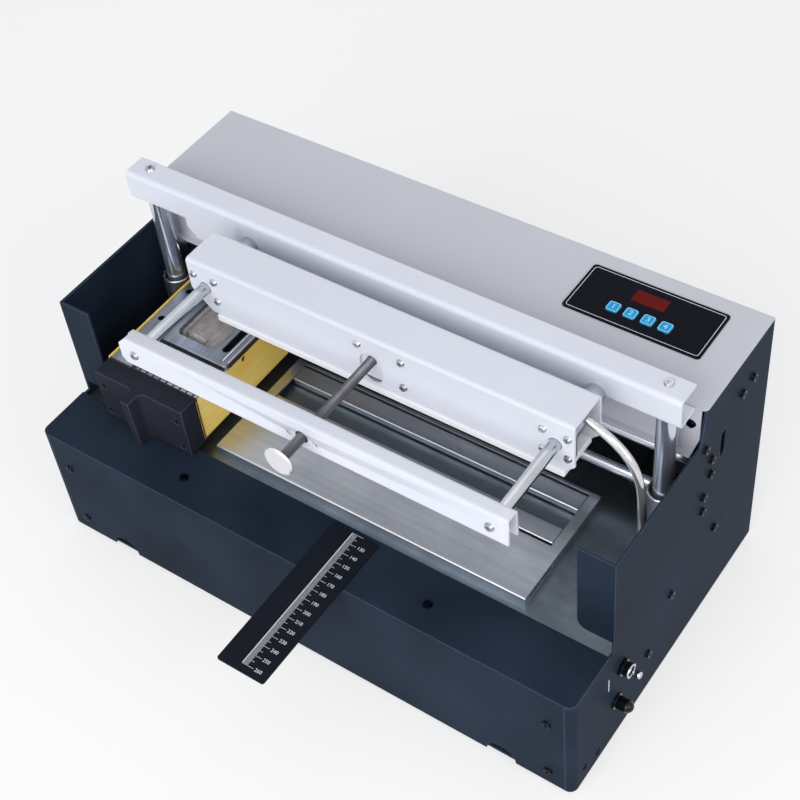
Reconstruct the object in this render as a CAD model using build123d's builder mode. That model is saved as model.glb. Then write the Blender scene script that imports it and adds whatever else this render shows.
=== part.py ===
# Desktop perfect binding machine, drawn as the separate pieces that it is bolted together from.
# Sizes are millimetres. X runs to the machine's right, Y to its back and Z up.
# While drawing, X starts at the housing's middle and Y at its front face, and save() moves
# every piece to the stored frame, whose origin is the middle of the whole footprint.
import math
import os

from build123d import *

os.makedirs("parts", exist_ok=True)

# Housing, all bent sheet
housing_width = 520.0
housing_depth = 295.0
foot_height = 5.0            # the sheet starts this far above the table
box_top = 125.0              # low box across the front
box_depth = 53.0
shoulder_y = 59.0            # front edge of the high part of a side wall
deck_front = 187.0
shoulder_run = 5.0           # the wall climbs from side_top to the deck over this length
wall = 2.0                   # side wall sheet
sheet = 1.5                  # the front, back, deck and base sheets
seam = 0.2                   # gap where two sheets meet
bend = 7.0                   # outside radius of the upright front corners
flange_width = 31.0          # inward flange at the front of a high side wall
flange_rise = 10.0
flange_corner = 9.0
half = housing_width / 2
inner = half - wall
sheet_foot = foot_height
base_top = sheet_foot + 1.0 + sheet

# Inner tray, the zinc floor of the work space
tray_drop = 7.0              # below the low box's top
tray_sheet = 2.0
tray_front = 55.0
tray_back_inset = 6.0
tray_flange = 32.0
tray_flange_front = 96.0     # the side flanges stay clear of the power switch
tray_gap = 0.2
tray_top = box_top - tray_drop
tray_back = housing_depth - tray_back_inset

# Heights of the work space, all from the tray
table_rise = 8.0
pot_rise = 11.6              # the pot's shell starts this far above the tray
shell_high = 46.4
heater_rise = 4.0            # the heater stands above the shell
carrier_foot_rise = 14.0
carrier_high = 70.0
skirt_clear = 11.0           # from the carriage plate up to the deck's skirt
deck_rise = 50.0             # the deck above the foot of its skirt
side_drop = 35.0             # the side walls end this far below the deck
beam_rise = 6.5              # the clamp beam's foot above the deck
table_top = tray_top + table_rise
pot_foot = tray_top + pot_rise
shell_top = pot_foot + shell_high
heater_top = shell_top + heater_rise
carrier_foot = tray_top + carrier_foot_rise
carrier_top = carrier_foot + carrier_high
skirt_foot = carrier_top + skirt_clear
deck_top = skirt_foot + deck_rise    # light grey deck over the back half
side_top = deck_top - side_drop
beam_foot = deck_top + beam_rise
flange_foot = box_top + flange_rise

# Side wall openings, as distances from the front face and from the table
bolt_hole = 2.2              # radius
slot_y = 220.5
slot_drop = 32.0             # its middle, below the wall's top
slot_long = 28.0
slot_wide = 8.0
slit_wide = 2.4
slit_places = [(231.8, 96.5, 17.0), (52.5, 87.5, 14.0)]   # y, z and length
arc_slot_y = 150.0
arc_slot_z = 61.0
arc_slot_radius = 11.0
arc_slot_wide = 4.0
arc_slot_sweep = 100.0
cable_hole = 4.0
cable_hole_places = [(37.5, 14.0), (18.0, 21.0)]
deck_bolts = [(housing_depth - 30.5, deck_top - 35.5), (housing_depth - 48.0, deck_top - 37.5)]
tray_bolts = [(217.0, tray_top - 20.0), (146.8, tray_top - 27.0)]
side_bolt_places = [*deck_bolts, (189.5, deck_top - 44.0), *tray_bolts, (112.6, 53.5)]

# Front box cover
notch_radius = 13.5
notch_inset = 65.0
face_screw_inset = 22.0
face_screw_z = [22.0, 89.0]
deck_screw_inset = 139.5
deck_screw_y = 23.0
cover_return = 14.0          # the folded-down edge behind the low deck
notch_x = half - notch_inset
face_screw_x = half - face_screw_inset
deck_screw_x = half - deck_screw_inset

# Grey top deck
deck_corner = 4.0
skirt_inset = 4.0
skirt_chamfer_run = 5.0
skirt_chamfer_rise = 17.0
lip_reach = 5.0
skirt_screw_inset = 11.5
skirt_screw_drop = 19.0
skirt_half = half - skirt_inset
skirt_screw_x = half - skirt_screw_inset
skirt_screw_z = deck_top - skirt_screw_drop

# Control panel on the deck
overlay_inset = 28.0         # from the housing's right side
overlay_back_inset = 15.0
overlay_width = 116.0
overlay_deep = 52.0
overlay_thick = 1.0
overlay_corner = 3.0
window_across = 56.8         # the window's middle, from the panel's left edge
window_down = 15.4           # and from its back edge
window_width = 27.5
window_deep = 12.5
window_fit = 0.15
button_across = 36.0
button_down = 35.3
button_pitch = 14.6
button_count = 4
button_size = 10.2
button_corner = 2.4
button_edge = 0.4
button_rise = 1.2
button_travel = 0.8
button_gap = 0.3
stem_radius = 2.4
switch_high = 4.3            # push switches on the board
switch_body_share = 2.5      # a push switch's width, as a share of the stem's radius
board_drop = 17.0
board_thick = 1.6
overlay_right = half - overlay_inset
overlay_left = overlay_right - overlay_width
overlay_back = housing_depth - overlay_back_inset
overlay_front = overlay_back - overlay_deep
window_x = overlay_left + window_across
window_y = overlay_back - window_down
button_first_x = overlay_left + button_across
button_y = overlay_back - button_down
board_top = deck_top - board_drop

# Glue carriage at its parking place
pot_inset = 38.0             # from the housing's left side
pot_width = 94.0
pot_front = 62.0
pot_back = 176.0
pot_sheet = 1.2
frame_front = 101.0
frame_inset = 26.0
frame_thick = 5.0
frame_corner = 5.0
well_border = 5.5
well_width = 41.5
well_front = 113.0
well_back = 160.0
well_corner = 6.0
wiper_slot_inset = 12.3
wiper_slot_wide = 6.5
wiper_slot_front = 115.0
wiper_slot_back = 151.0
wiper_slot_deep = 24.0
tank_bottom = 4.4            # the well's floor above the shell's foot
heater_width = 24.0
heater_screw_inset = 8.5
heater_screws_y = [74.0, 120.0, 157.0]
socket_seat = 3.0
heater_edge = 0.8
frame_edge = 0.6
terminal_deep = 6.0          # row of heater terminals behind the casting
terminal_high = 10.0
terminal_count = 9
terminal_pitch = 7.2
terminal_slot = 1.6
terminal_slot_deep = 2.5
shell_hole_y = 123.3
shell_hole_drop = 4.5
shell_hole = 2.6
roller_side_gap = 1.5        # from the roller to the well's left wall
roller_drop = 9.0            # the roller's axis below the shell's top
roller_radius = 16.5
roller_end_round = 3.0
roller_gap = 1.0
roller_shaft = 4.0
blade_thick = 4.6
blade_slope = 1.84
blade_high = 26.0
casting_front = 44.0
casting_drop = 1.6           # the casting reaches below the shell
casting_rise = 4.0           # and above it
casting_inset = 2.0
pocket_deep = 7.0
pocket_border = 7.0
pocket_top_border = 9.0
rib_wide = 14.0
rib_reach = 15.0
rib_draft = 3.0
rib_slope = 9.0
casting_hole = 2.6
casting_hole_inset = 12.0
casting_hole_rises = [11.0, 35.0]
casting_chamfer = 2.0
pot_left = -half + pot_inset
pot_right = pot_left + pot_width
frame_left = pot_left + frame_inset
well_left = frame_left + well_border
well_right = well_left + well_width
wiper_slot_x = pot_right - wiper_slot_inset
tank_floor = pot_foot + tank_bottom
heater_right = pot_left + heater_width
heater_screw_x = pot_left + heater_screw_inset
shell_hole_z = shell_top - shell_hole_drop
roller_x = well_left + roller_radius + roller_side_gap
roller_z = shell_top - roller_drop
blade_foot = shell_top - blade_high
casting_foot = pot_foot - casting_drop
casting_top = shell_top + casting_rise
casting_left = pot_left + casting_inset
casting_holes = [
    (x, casting_foot + rise)
    for x in (casting_left + casting_hole_inset, pot_right - casting_hole_inset)
    for rise in casting_hole_rises
]

# Nipping table and its two bars
table_clear = 9.0            # from the parked pot to the table
table_inset = 79.0           # from the table to the housing's right side
table_front = 64.0
table_back = 180.0
table_sheet = 1.5
table_slot_length = 16.0
table_slot_height = 3.0
table_slots_y = [79.0, 97.0]
nip_window_front = 117.0
nip_window_back = 176.0
nip_window_end = 9.0
nip_bar_width = 16.0
nip_rest_gap = 22.0
nip_bar_thick = 6.0
nip_bar_corner = 1.0
nip_bar_edge = 0.5
nip_foot_deep = 12.0
nip_play = 0.35
table_left = pot_right + table_clear
table_right = half - table_inset

# Clamp frame: rear beam, posts, guide rods and front crossbar
clamp_shift = 0.5            # the clamp's middle stands this far left of the table's
beam_inset = 5.5
beam_high = 26.9
beam_front = 156.5
beam_back = 178.5
beam_sheet = 2.0
beam_corner = 4.0
jaw_left_inset = 65.0
jaw_right_inset = 2.0
jaw_drop = 15.5              # the rear jaw hangs this far below the beam
jaw_foot_cut = 9.3
post_inset = 22.0
post_y = 169.5
post_radius = 8.0
post_drop = 42.0             # the posts reach this far below the tray
post_chamfer = 1.0
fit_gap = 0.04               # radial running clearance of a shaft in its bush
rod_rise = 3.5               # the guide rods' axis above the beam's foot
rod_inset = 15.5             # from the end of the front jaw
rod_radius = 5.0
collar_radius = 8.0
collar_length = 8.0
bar_short = 1.0              # the crossbar ends this much short of the front jaw
bar_front = 15.5
bar_back = 28.5
bar_drop = 12.0
bar_high = 26.0
bar_sheet = 2.0
bar_corner = 5.0
bar_foot_corner = 3.0
bar_bend = 3.0
yoke_thick = 12.0
yoke_width = 25.0
yoke_overhang = 13.0
yoke_eye_share = 0.75        # the round part about the screw, as a share of the yoke's width
channel_overhang = 23.0      # the front jaw is this much longer than the table at each end
channel_front = 100.0
channel_back = 137.0
channel_drop = 24.0
channel_high = 48.0
channel_sheet = 2.0
clamp_x = (table_left + table_right) / 2 - clamp_shift
beam_half = half - beam_inset
beam_top = beam_foot + beam_high
jaw_left = -half + jaw_left_inset
jaw_right = table_right - jaw_right_inset
jaw_foot = beam_foot - jaw_drop
post_x = half - post_inset
post_foot = tray_top - post_drop
channel_half = (table_right - table_left) / 2 + channel_overhang
rod_reach = channel_half - rod_inset
rod_z = beam_foot + rod_rise
bar_half = channel_half - bar_short
bar_foot = rod_z - bar_drop
bar_top = bar_foot + bar_high
yoke_half = post_x + yoke_overhang
channel_foot = rod_z - channel_drop
channel_top = channel_foot + channel_high

# Ruler plate that reaches out over the low box, in front of the machine
ruler_shift = 5.0            # its middle stands this far right of the clamp's
ruler_width = 44.0
ruler_reach = 99.0
ruler_back = 49.0
ruler_thick = 1.5
ruler_corner = 2.0
ruler_screws_y = [12.0, 40.0]
ruler_left = clamp_x + ruler_shift - ruler_width / 2
ruler_right = ruler_left + ruler_width

# Lift sleeves and bushes
sleeve_radius = 12.0
sleeve_wall = 1.5
sleeve_rise = 62.0
sleeve_drop = 28.0
sleeve_flange_x = 34.0
sleeve_flange_y = 44.0
sleeve_flange_thick = 4.0
bush_depth = 6.0             # the upper bush sits this far below the sleeve's rim
bush_length = 34.0
lower_bush_length = 18.0
sleeve_top = tray_top + sleeve_rise
sleeve_foot = tray_top - sleeve_drop

# Front jaw, a folded channel with a flat bar closing its underside
left_cut = 18.0
right_cut = 7.0
jaw_bar_thick = 6.0
jaw_bar_short = 7.5
jaw_bar_front = 98.0
jaw_bar_edge = 0.6
arch_radius = 10.0
arch_drop = 13.5
arch_rise_share = 1.5        # how much longer the opening is than its drop, in its own radii
rod_bush_radius = 9.5
rod_bush_length = 26.0
rod_bush_flange = 28.0
rod_bush_flange_thick = 4.0
rod_bush_screw = 10.2
jaw_open = 40.0
jaw_close = 19.0
jaw_bar_left = table_left
jaw_bar_right = clamp_x + channel_half - jaw_bar_short

# Clamping spindle and its knob
spindle_drop = 1.0           # its axis below the guide rods'
spindle_radius = 4.0
spindle_tip = 114.0
spindle_chamfer = 0.6
spindle_hole_gap = 1.5       # around the spindle in the crossbar
knob_face = -13.5
knob_radius = 11.0
knob_thick = 3.4
knob_dome = 1.6
knob_edge = 0.6
knob_hub = 5.6
knob_hub_length = 3.0
nut_radius = 7.5
nut_flange_half = 15.5
nut_flange_high = 7.0
nut_flange_thick = 3.0
nut_flange_corner = 2.0
nut_screw = 11.5
nut_slot_long = 5.0
nut_slot_wide = 2.4
nut_slot_turn = -20.0
nut_slot_drop = 2.0
bearing_block_width = 28.0
bearing_block_high = 20.0
bearing_block_deep = 14.0
plate_thick = 3.0
plate_reach_left = 18.5      # the bearing's plate, from the spindle's axis
plate_reach_right = 35.5
plate_reach_down = 18.0
plate_reach_up = 20.0
plate_screw_reach_left = 10.5    # its screws, from the spindle's axis
plate_screw_reach_right = 28.5
plate_screw_reach_down = 12.0
plate_screw_reach_up = 14.0
spindle_z = rod_z - spindle_drop
arch_foot = spindle_z - arch_drop
plate_left = clamp_x - plate_reach_left
plate_right = clamp_x + plate_reach_right
plate_foot = spindle_z - plate_reach_down
plate_top = spindle_z + plate_reach_up
plate_screw_left = clamp_x - plate_screw_reach_left
plate_screw_right = clamp_x + plate_screw_reach_right
plate_screws = [
    (plate_screw_left, spindle_z + plate_screw_reach_up),
    (plate_screw_right, spindle_z + plate_screw_reach_up),
    (plate_screw_right, spindle_z - plate_screw_reach_down),
]

# Bent steel tube from the front jaw down into the base
conduit_radius = 3.2
conduit_start_inset = 53.5       # from the front jaw's right end
conduit_start_drop = 9.8         # from the front jaw's top
conduit_shoulder_inset = 2.5
conduit_shoulder_drop = 11.0
conduit_elbow_inset = 21.5       # from the housing's right side
conduit_elbow_drop = 35.0
conduit_y = 123.0
conduit_inset = 14.5         # its upright part, from the housing's right side
conduit_drop = 61.0          # where it turns upright, below the jaw's top
conduit_end_drop = 6.0       # its end below the tray
conduit_bend = 18.0
conduit_play = 2.0
clip_inset = 4.0
clip_long = 10.0
clip_wide = 12.0
clip_wall = 1.0              # of the clip under the tube
channel_end = clamp_x + channel_half
conduit_start = (channel_end - conduit_start_inset, channel_top - conduit_start_drop)
conduit_shoulder = (channel_end - conduit_shoulder_inset, channel_top - conduit_shoulder_drop)
conduit_elbow = (half - conduit_elbow_inset, channel_top - conduit_elbow_drop)
conduit_x = half - conduit_inset
conduit_drop_z = channel_top - conduit_drop
conduit_foot = tray_top - conduit_end_drop

# Carriage guide behind the deck's skirt
rail_places = [(192.0, tray_top + 35.0), (201.5, tray_top + 70.0)]
rail_radius = 6.0
carrier_thick = 4.0
carrier_inset = 8.0
bearing_length = 30.0
bearing_back = 12.0          # a bearing block reaches this far behind its rail
bearing_half = 11.0
support_wide = 22.0
support_high = 32.0
support_thick = 8.0
support_corner = 4.0
support_sheet = 3.0
support_bolt = 8.4           # the two bolts of a rail support stand this far above and below the rail
screw_y = 229.0
screw_rise = 52.5
screw_radius = 5.0
screw_gap = 0.3              # between a screw and what it runs in
screw_inset = 16.0           # from the housing's left side
lift_screw_rise = 1.0        # from the base plate
bearing_cup = 11.0
bearing_cup_high = 4.5
motor_size = 42.0
motor_length = 32.0
motor_corner = 5.0
motor_cap_share = 0.3        # each end cap, as a share of the motor's length
motor_inset = 10.0           # from the right wall to the carriage motor
motor_foot = 28.0
roller_motor_radius = 13.0
roller_motor_length = 32.0
shaft_seat = 6.0
shaft_clear = 1.0            # round the travel screw where it passes the motor's bracket
shaft_boss = 6.5
shaft_offset = 8.0
bearing_size = 26.0
nut_block = 22.0
screw_z = tray_top + screw_rise
screw_left = -half + screw_inset
lift_screw_foot = base_top + lift_screw_rise

# Electrics in the base
transformer_inset = 90.0
transformer_y = 90.0
winding_share = 0.62         # the winding's width, as a share of the core's
board_width = 150.0
board_deep = 90.0
board_inset = 130.0
board_y = 68.0
pillar_radius = 3.0
heat_sink_x = -0.32          # places on the main board, as shares of its width and depth
heat_sink_long = 0.6
relay_x = 0.08
relay_y = 0.3
capacitor_x = 0.2
capacitor_y = -0.15
strip_y = -0.43
strip_long = 0.7
heat_sink_wide = 12.0
relay_pitch = 18.0
relay_wide = 15.0
relay_long = 18.0
relay_high = 15.0
capacitor_pitch = 22.5
capacitor_radius = 7.5
capacitor_high = 24.0
strip_wide = 9.0
pillar_high = 8.0
core_width = 66.0
core_deep = 28.0
core_high = 55.0
winding_deep = 47.6
inlet_inset = 110.0
inlet_z = 60.0
inlet_width = 28.0
inlet_high = 22.0
inlet_deep = 24.0
inlet_recess = 16.0
inlet_reach = 3.0
pin_pitch = 7.0
pin_long = 11.2
toggle_y = 72.0
toggle_z = 88.5
fuse_y = 64.0
fuse_z = 52.0
toggle_nut = 7.0
toggle_bush = 5.8
toggle_bush_length = 7.5
toggle_nut_thick = 2.5
toggle_body_high = 18.0
toggle_body_wide = 12.0
toggle_body_deep = 16.0
lever_ball = 4.0
lever_neck = 1.6
lever_radius = 2.6
lever_reach = 16.5
fuse_radius = 5.4
fuse_reach = 15.0
fuse_inside = 24.0
bolt_head = 4.2
bolt_head_high = 2.6
bolt_tail = 1.0              # a side bolt reaches this far past the wall
screw_head = 4.0
screw_head_high = 2.0
screw_shank = 6.0
head_top_share = 0.75        # a screw head's top, as a share of its radius, and so are these
socket_share = 0.45
cross_long_share = 1.1
cross_wide_share = 0.28
socket_depth_share = 0.6     # as a share of the head's height
small_head_share = 0.85
foot_radius = 11.0
foot_taper = -6.0
foot_inset_x = 40.0
foot_inset_y = 34.0
vent_count = 9
vent_pitch = 14.0
vent_length = 46.0
vent_wide = 4.0
vent_drop = 42.0             # the upper row's middle, below the deck's skirt
transformer_x = -half + transformer_inset
board_x = half - board_inset
inlet_x = -half + inlet_inset
vent_places = [(half - inlet_inset, inlet_z), (0.0, skirt_foot - vent_drop)]

# The stored frame's origin, from what reaches furthest each way
reach_left = half + bolt_head_high
reach_right = half + lever_reach
shift_x = (reach_left - reach_right) / 2
shift_y = (ruler_reach - (housing_depth + inlet_reach)) / 2


def flat(z):
    """Sketch plane at height z; extrude() goes up."""
    return Plane.XY.offset(z)


def front(y):
    """Upright sketch plane at depth y, seen from the front; extrude() goes towards the front."""
    return Plane.XZ.offset(-y)


def side(x):
    """Upright sketch plane at x, whose own axes are the machine's Y and Z; extrude() goes right."""
    return Plane.YZ.offset(x)


def block(x, y, z, mode=Mode.ADD):
    """Adds a box that fills the three given spans to the part being built."""
    with Locations(((x[0] + x[1]) / 2, (y[0] + y[1]) / 2, (z[0] + z[1]) / 2)):
        Box(x[1] - x[0], y[1] - y[0], z[1] - z[0], mode=mode)


def rod(plane, x, y, radius, length, mode=Mode.ADD):
    """Adds a round bar that starts on a plane, at the plane's own x and y."""
    middle = plane.location * Location((x, y, length / 2))
    with Locations(middle):
        Cylinder(radius, abs(length), mode=mode)


def screws(plane, places, radius, high, shank_radius, shank, socket=False):
    """Adds screws whose heads stand on a plane and whose shanks go behind it."""
    for x, y in places:
        rod(plane, x, y, shank_radius, -shank)
        with Locations(plane.location * Location((x, y, high / 2))):
            Cone(radius, radius * head_top_share, high)
        if socket:
            rod(plane.offset(high), x, y, radius * socket_share, -high * socket_depth_share, Mode.SUBTRACT)
        else:
            with Locations(plane.location * Location((x, y, high))):
                Box(radius * cross_long_share, radius * cross_wide_share, high, mode=Mode.SUBTRACT)
                Box(radius * cross_wide_share, radius * cross_long_share, high, mode=Mode.SUBTRACT)


def save(builder, name):
    """Labels a finished piece, moves it to the stored frame and writes it out."""
    piece = builder.part.moved(Location((shift_x, shift_y, 0)))
    piece.label = name
    export_step(piece, f"parts/{name}.step")


# Housing sheets
ruler_screws = [((ruler_left + ruler_right) / 2, y) for y in ruler_screws_y]


def wall_piece(name, mirrored, extra_holes):
    """A side wall: the flat sheet, its bent front corner and its inward flange."""
    with BuildPart() as piece:
        with BuildSketch(side(inner)):
            with BuildLine():
                Polyline(
                    (bend, sheet_foot),
                    (housing_depth, sheet_foot),
                    (housing_depth, deck_top - sheet),
                    (deck_front, deck_top - sheet),
                    (deck_front - shoulder_run, side_top),
                    (shoulder_y, side_top),
                    (shoulder_y, box_top - sheet),
                    (bend, box_top - sheet),
                    close=True,
                )
            make_face()
            with Locations((slot_y, side_top - slot_drop)):
                SlotOverall(slot_long, slot_wide, rotation=90, mode=Mode.SUBTRACT)
            for y, z, length in slit_places:
                with Locations((y, z)):
                    SlotOverall(length, slit_wide, rotation=90, mode=Mode.SUBTRACT)
            with Locations(*side_bolt_places, *support_bolts):
                Circle(bolt_hole, mode=Mode.SUBTRACT)
            with Locations(*cable_hole_places):
                Circle(cable_hole, mode=Mode.SUBTRACT)
            for y, z, radius in extra_holes:
                with Locations((y, z)):
                    Circle(radius, mode=Mode.SUBTRACT)
            start = 180 - arc_slot_sweep / 2
            middle = CenterArc((arc_slot_y, arc_slot_z), arc_slot_radius, start, arc_slot_sweep)
            SlotArc(middle, arc_slot_wide, mode=Mode.SUBTRACT)
        extrude(amount=wall)
        with BuildSketch(flat(sheet_foot)):
            with Locations((half - bend, bend)):
                Circle(bend)
                Circle(bend - wall, mode=Mode.SUBTRACT)
                Rectangle(bend, bend, align=(Align.MIN, Align.MAX), mode=Mode.INTERSECT)
        extrude(amount=box_top - sheet - sheet_foot)
        with BuildSketch(front(shoulder_y)) as flange:
            with Locations((half, flange_foot)):
                Rectangle(flange_width, side_top - flange_foot, align=(Align.MAX, Align.MIN))
            inside = flange.vertices().group_by(Axis.X)[0]
            fillet(inside.sort_by(Axis.Y)[0], flange_corner)
        extrude(amount=-wall)
        if mirrored:
            mirror(about=Plane.YZ, mode=Mode.REPLACE)
    save(piece, name)


support_bolts = [(y, z + step) for y, z in rail_places for step in (-support_bolt, support_bolt)]
power_holes = [(toggle_y, toggle_z, toggle_bush + seam), (fuse_y, fuse_z, fuse_radius + seam)]
wall_piece("right_side_wall", False, power_holes)
wall_piece("left_side_wall", True, [])

with BuildPart() as base_plate:
    with BuildSketch(flat(base_top - sheet)) as outline:
        with Locations((0, sheet + seam)):
            Rectangle(
                2 * (inner - seam),
                housing_depth - 2 * (sheet + seam),
                align=(Align.CENTER, Align.MIN),
            )
        fillet(outline.vertices().group_by(Axis.Y)[0], bend)
    extrude(amount=sheet)
    for edge in (-1, 1):
        outer = edge * (inner - seam)
        block(
            sorted((outer, outer - edge * sheet)),
            (bend, housing_depth - bend),
            (base_top, base_top + vent_pitch),
        )
save(base_plate, "base_plate")

with BuildPart() as front_cover:
    with BuildSketch(front(0)):
        with Locations((0, sheet_foot)):
            Rectangle(2 * (half - bend - seam), box_top - sheet - sheet_foot, align=(Align.CENTER, Align.MIN))
            with Locations((-notch_x, 0), (notch_x, 0)):
                Circle(notch_radius, mode=Mode.SUBTRACT)
        for z in face_screw_z:
            with Locations((-face_screw_x, z), (face_screw_x, z)):
                Circle(bolt_hole, mode=Mode.SUBTRACT)
    extrude(amount=-sheet)
    with BuildSketch(flat(box_top - sheet)) as deck:
        with Locations((0, 0)):
            Rectangle(2 * half, box_depth, align=(Align.CENTER, Align.MIN))
        fillet(deck.vertices().group_by(Axis.Y)[0], bend)
        with Locations((-deck_screw_x, deck_screw_y), (deck_screw_x, deck_screw_y), *ruler_screws):
            Circle(bolt_hole, mode=Mode.SUBTRACT)
    extrude(amount=sheet)
    block(
        (-inner + seam, inner - seam),
        (box_depth - sheet, box_depth),
        (box_top - sheet - cover_return, box_top - sheet),
    )
save(front_cover, "front_cover")

with BuildPart() as back_panel:
    with BuildSketch(front(housing_depth)):
        with Locations((0, sheet_foot)):
            Rectangle(2 * (inner - seam), deck_top - sheet - sheet_foot, align=(Align.CENTER, Align.MIN))
        with Locations((inlet_x, inlet_z)):
            Rectangle(inlet_width + 2 * seam, inlet_high + 2 * seam, mode=Mode.SUBTRACT)
        with Locations(*vent_places):
            with GridLocations(vent_pitch, 0, vent_count, 1):
                SlotOverall(vent_length, vent_wide, rotation=90, mode=Mode.SUBTRACT)
    extrude(amount=sheet)
save(back_panel, "back_panel")

with BuildPart() as rubber_feet:
    with BuildSketch(flat(0)):
        with Locations((0, housing_depth / 2)):
            with GridLocations(housing_width - 2 * foot_inset_x, housing_depth - 2 * foot_inset_y, 2, 2):
                Circle(foot_radius)
    extrude(amount=base_top - sheet, taper=foot_taper)
save(rubber_feet, "rubber_feet")

with BuildPart() as inner_tray:
    with BuildSketch(flat(tray_top - tray_sheet)):
        with Locations((0, tray_front)):
            Rectangle(2 * (inner - tray_gap), tray_back - tray_front, align=(Align.CENTER, Align.MIN))
        with Locations((-post_x, post_y), (post_x, post_y)):
            Circle(sleeve_radius + tray_gap, mode=Mode.SUBTRACT)
        slot_front = conduit_y - jaw_open - conduit_radius - conduit_play
        slot_back = conduit_y + jaw_close + conduit_radius + conduit_play
        with Locations((conduit_x, (slot_front + slot_back) / 2)):
            SlotOverall(
                slot_back - slot_front,
                2 * (conduit_radius + conduit_play),
                rotation=90,
                mode=Mode.SUBTRACT,
            )
    extrude(amount=tray_sheet)
    for edge in (-1, 1):
        outer = edge * (inner - tray_gap)
        block(
            sorted((outer, outer - edge * tray_sheet)),
            (tray_flange_front, tray_back),
            (tray_top - tray_flange - tray_sheet, tray_top - tray_sheet),
        )
    for y in (tray_front, tray_back - tray_sheet):
        block(
            (-inner + tray_gap, inner - tray_gap),
            (y, y + tray_sheet),
            (tray_top - cover_return, tray_top - tray_sheet),
        )
    with BuildSketch(side(-half)):
        with Locations(*tray_bolts):
            Circle(bolt_hole)
    extrude(amount=housing_width, mode=Mode.SUBTRACT)
save(inner_tray, "inner_tray")

with BuildPart() as nip_table:
    with BuildSketch(side(table_left)) as section:
        with Locations((table_front, tray_top)):
            Rectangle(table_back - table_front, table_top - tray_top, align=(Align.MIN, Align.MIN))
        fillet(section.vertices().group_by(Axis.Y)[-1], table_sheet)
    extrude(amount=table_right - table_left)
    block(
        (table_left + table_sheet, table_right - table_sheet),
        (table_front + table_sheet, table_back - table_sheet),
        (tray_top, table_top - table_sheet),
        Mode.SUBTRACT,
    )
    block(
        (table_left + nip_window_end, table_right - nip_window_end),
        (nip_window_front, nip_window_back),
        (tray_top, table_top),
        Mode.SUBTRACT,
    )
    with BuildSketch(side(table_right - table_sheet)):
        for y in table_slots_y:
            with Locations((y, (tray_top + table_top) / 2)):
                SlotOverall(table_slot_length, table_slot_height)
    extrude(amount=table_sheet, mode=Mode.SUBTRACT)
save(nip_table, "nip_table")

nip_middle = (channel_back + beam_front) / 2
nip_left = table_left + nip_window_end + nip_play
nip_right = table_right - nip_window_end - nip_play


def nip_bar(name, near, direction):
    """One nipping bar: its nipping face stands at near, and direction points to its back."""
    far = near + direction * nip_bar_width
    with BuildPart() as piece:
        with BuildSketch(flat(table_top - nip_bar_thick)):
            with Locations(((nip_left + nip_right) / 2, (near + far) / 2)):
                RectangleRounded(nip_right - nip_left, nip_bar_width, nip_bar_corner)
        extrude(amount=nip_bar_thick)
        upper = piece.edges().group_by(Axis.Z)[-1]
        chamfer(upper, nip_bar_edge)
        for x in (nip_left + nip_bar_width, nip_right - nip_bar_width):
            with BuildSketch(flat(tray_top + nip_play)):
                with Locations((x, (near + far) / 2)):
                    Rectangle(nip_bar_width, nip_foot_deep)
            extrude(amount=table_top - nip_bar_thick - tray_top - nip_play)
    save(piece, name)


nip_bar("front_nip_bar", nip_middle - nip_rest_gap / 2, -1)
nip_bar("rear_nip_bar", nip_middle + nip_rest_gap / 2, 1)

with BuildPart() as ruler_plate:
    with BuildSketch(flat(box_top)) as outline:
        with Locations(((ruler_left + ruler_right) / 2, -ruler_reach)):
            Rectangle(ruler_right - ruler_left, ruler_reach + ruler_back, align=(Align.CENTER, Align.MIN))
        fillet(outline.vertices(), ruler_corner)
        with Locations(*ruler_screws):
            Circle(bolt_hole, mode=Mode.SUBTRACT)
    extrude(amount=ruler_thick)
save(ruler_plate, "ruler_plate")

# Deck and control panel
button_places = [(button_first_x + number * button_pitch, button_y) for number in range(button_count)]

with BuildPart() as top_deck:
    with BuildSketch(flat(deck_top - sheet)) as outline:
        with Locations((0, deck_front)):
            Rectangle(2 * half, housing_depth - deck_front, align=(Align.CENTER, Align.MIN))
        fillet(outline.vertices().group_by(Axis.Y)[0], deck_corner)
        with Locations((window_x, window_y)):
            Rectangle(window_width + 2 * window_fit, window_deep + 2 * window_fit, mode=Mode.SUBTRACT)
        with Locations(*button_places):
            Circle(stem_radius + button_gap, mode=Mode.SUBTRACT)
    extrude(amount=sheet)
    with BuildSketch(front(deck_front)):
        with BuildLine():
            Polyline(
                (-skirt_half, deck_top - sheet),
                (-skirt_half, skirt_foot + skirt_chamfer_rise),
                (-skirt_half + skirt_chamfer_run, skirt_foot),
                (skirt_half - skirt_chamfer_run, skirt_foot),
                (skirt_half, skirt_foot + skirt_chamfer_rise),
                (skirt_half, deck_top - sheet),
                close=True,
            )
        make_face()
        with Locations((-skirt_screw_x, skirt_screw_z), (skirt_screw_x, skirt_screw_z)):
            Circle(bolt_hole, mode=Mode.SUBTRACT)
    extrude(amount=-sheet)
    block(
        (-skirt_half + skirt_chamfer_run, skirt_half - skirt_chamfer_run),
        (deck_front - lip_reach, deck_front + sheet),
        (skirt_foot - sheet, skirt_foot),
    )
save(top_deck, "top_deck")

with BuildPart() as control_overlay:
    with BuildSketch(flat(deck_top)) as outline:
        with Locations((overlay_left, overlay_front)):
            Rectangle(
                overlay_right - overlay_left, overlay_back - overlay_front, align=(Align.MIN, Align.MIN)
            )
        fillet(outline.vertices(), overlay_corner)
        with Locations((window_x, window_y)):
            Rectangle(window_width + 2 * window_fit, window_deep + 2 * window_fit, mode=Mode.SUBTRACT)
        with Locations(*button_places):
            RectangleRounded(
                button_size + 2 * button_gap, button_size + 2 * button_gap, button_corner, mode=Mode.SUBTRACT
            )
    extrude(amount=overlay_thick)
save(control_overlay, "control_overlay")

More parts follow.
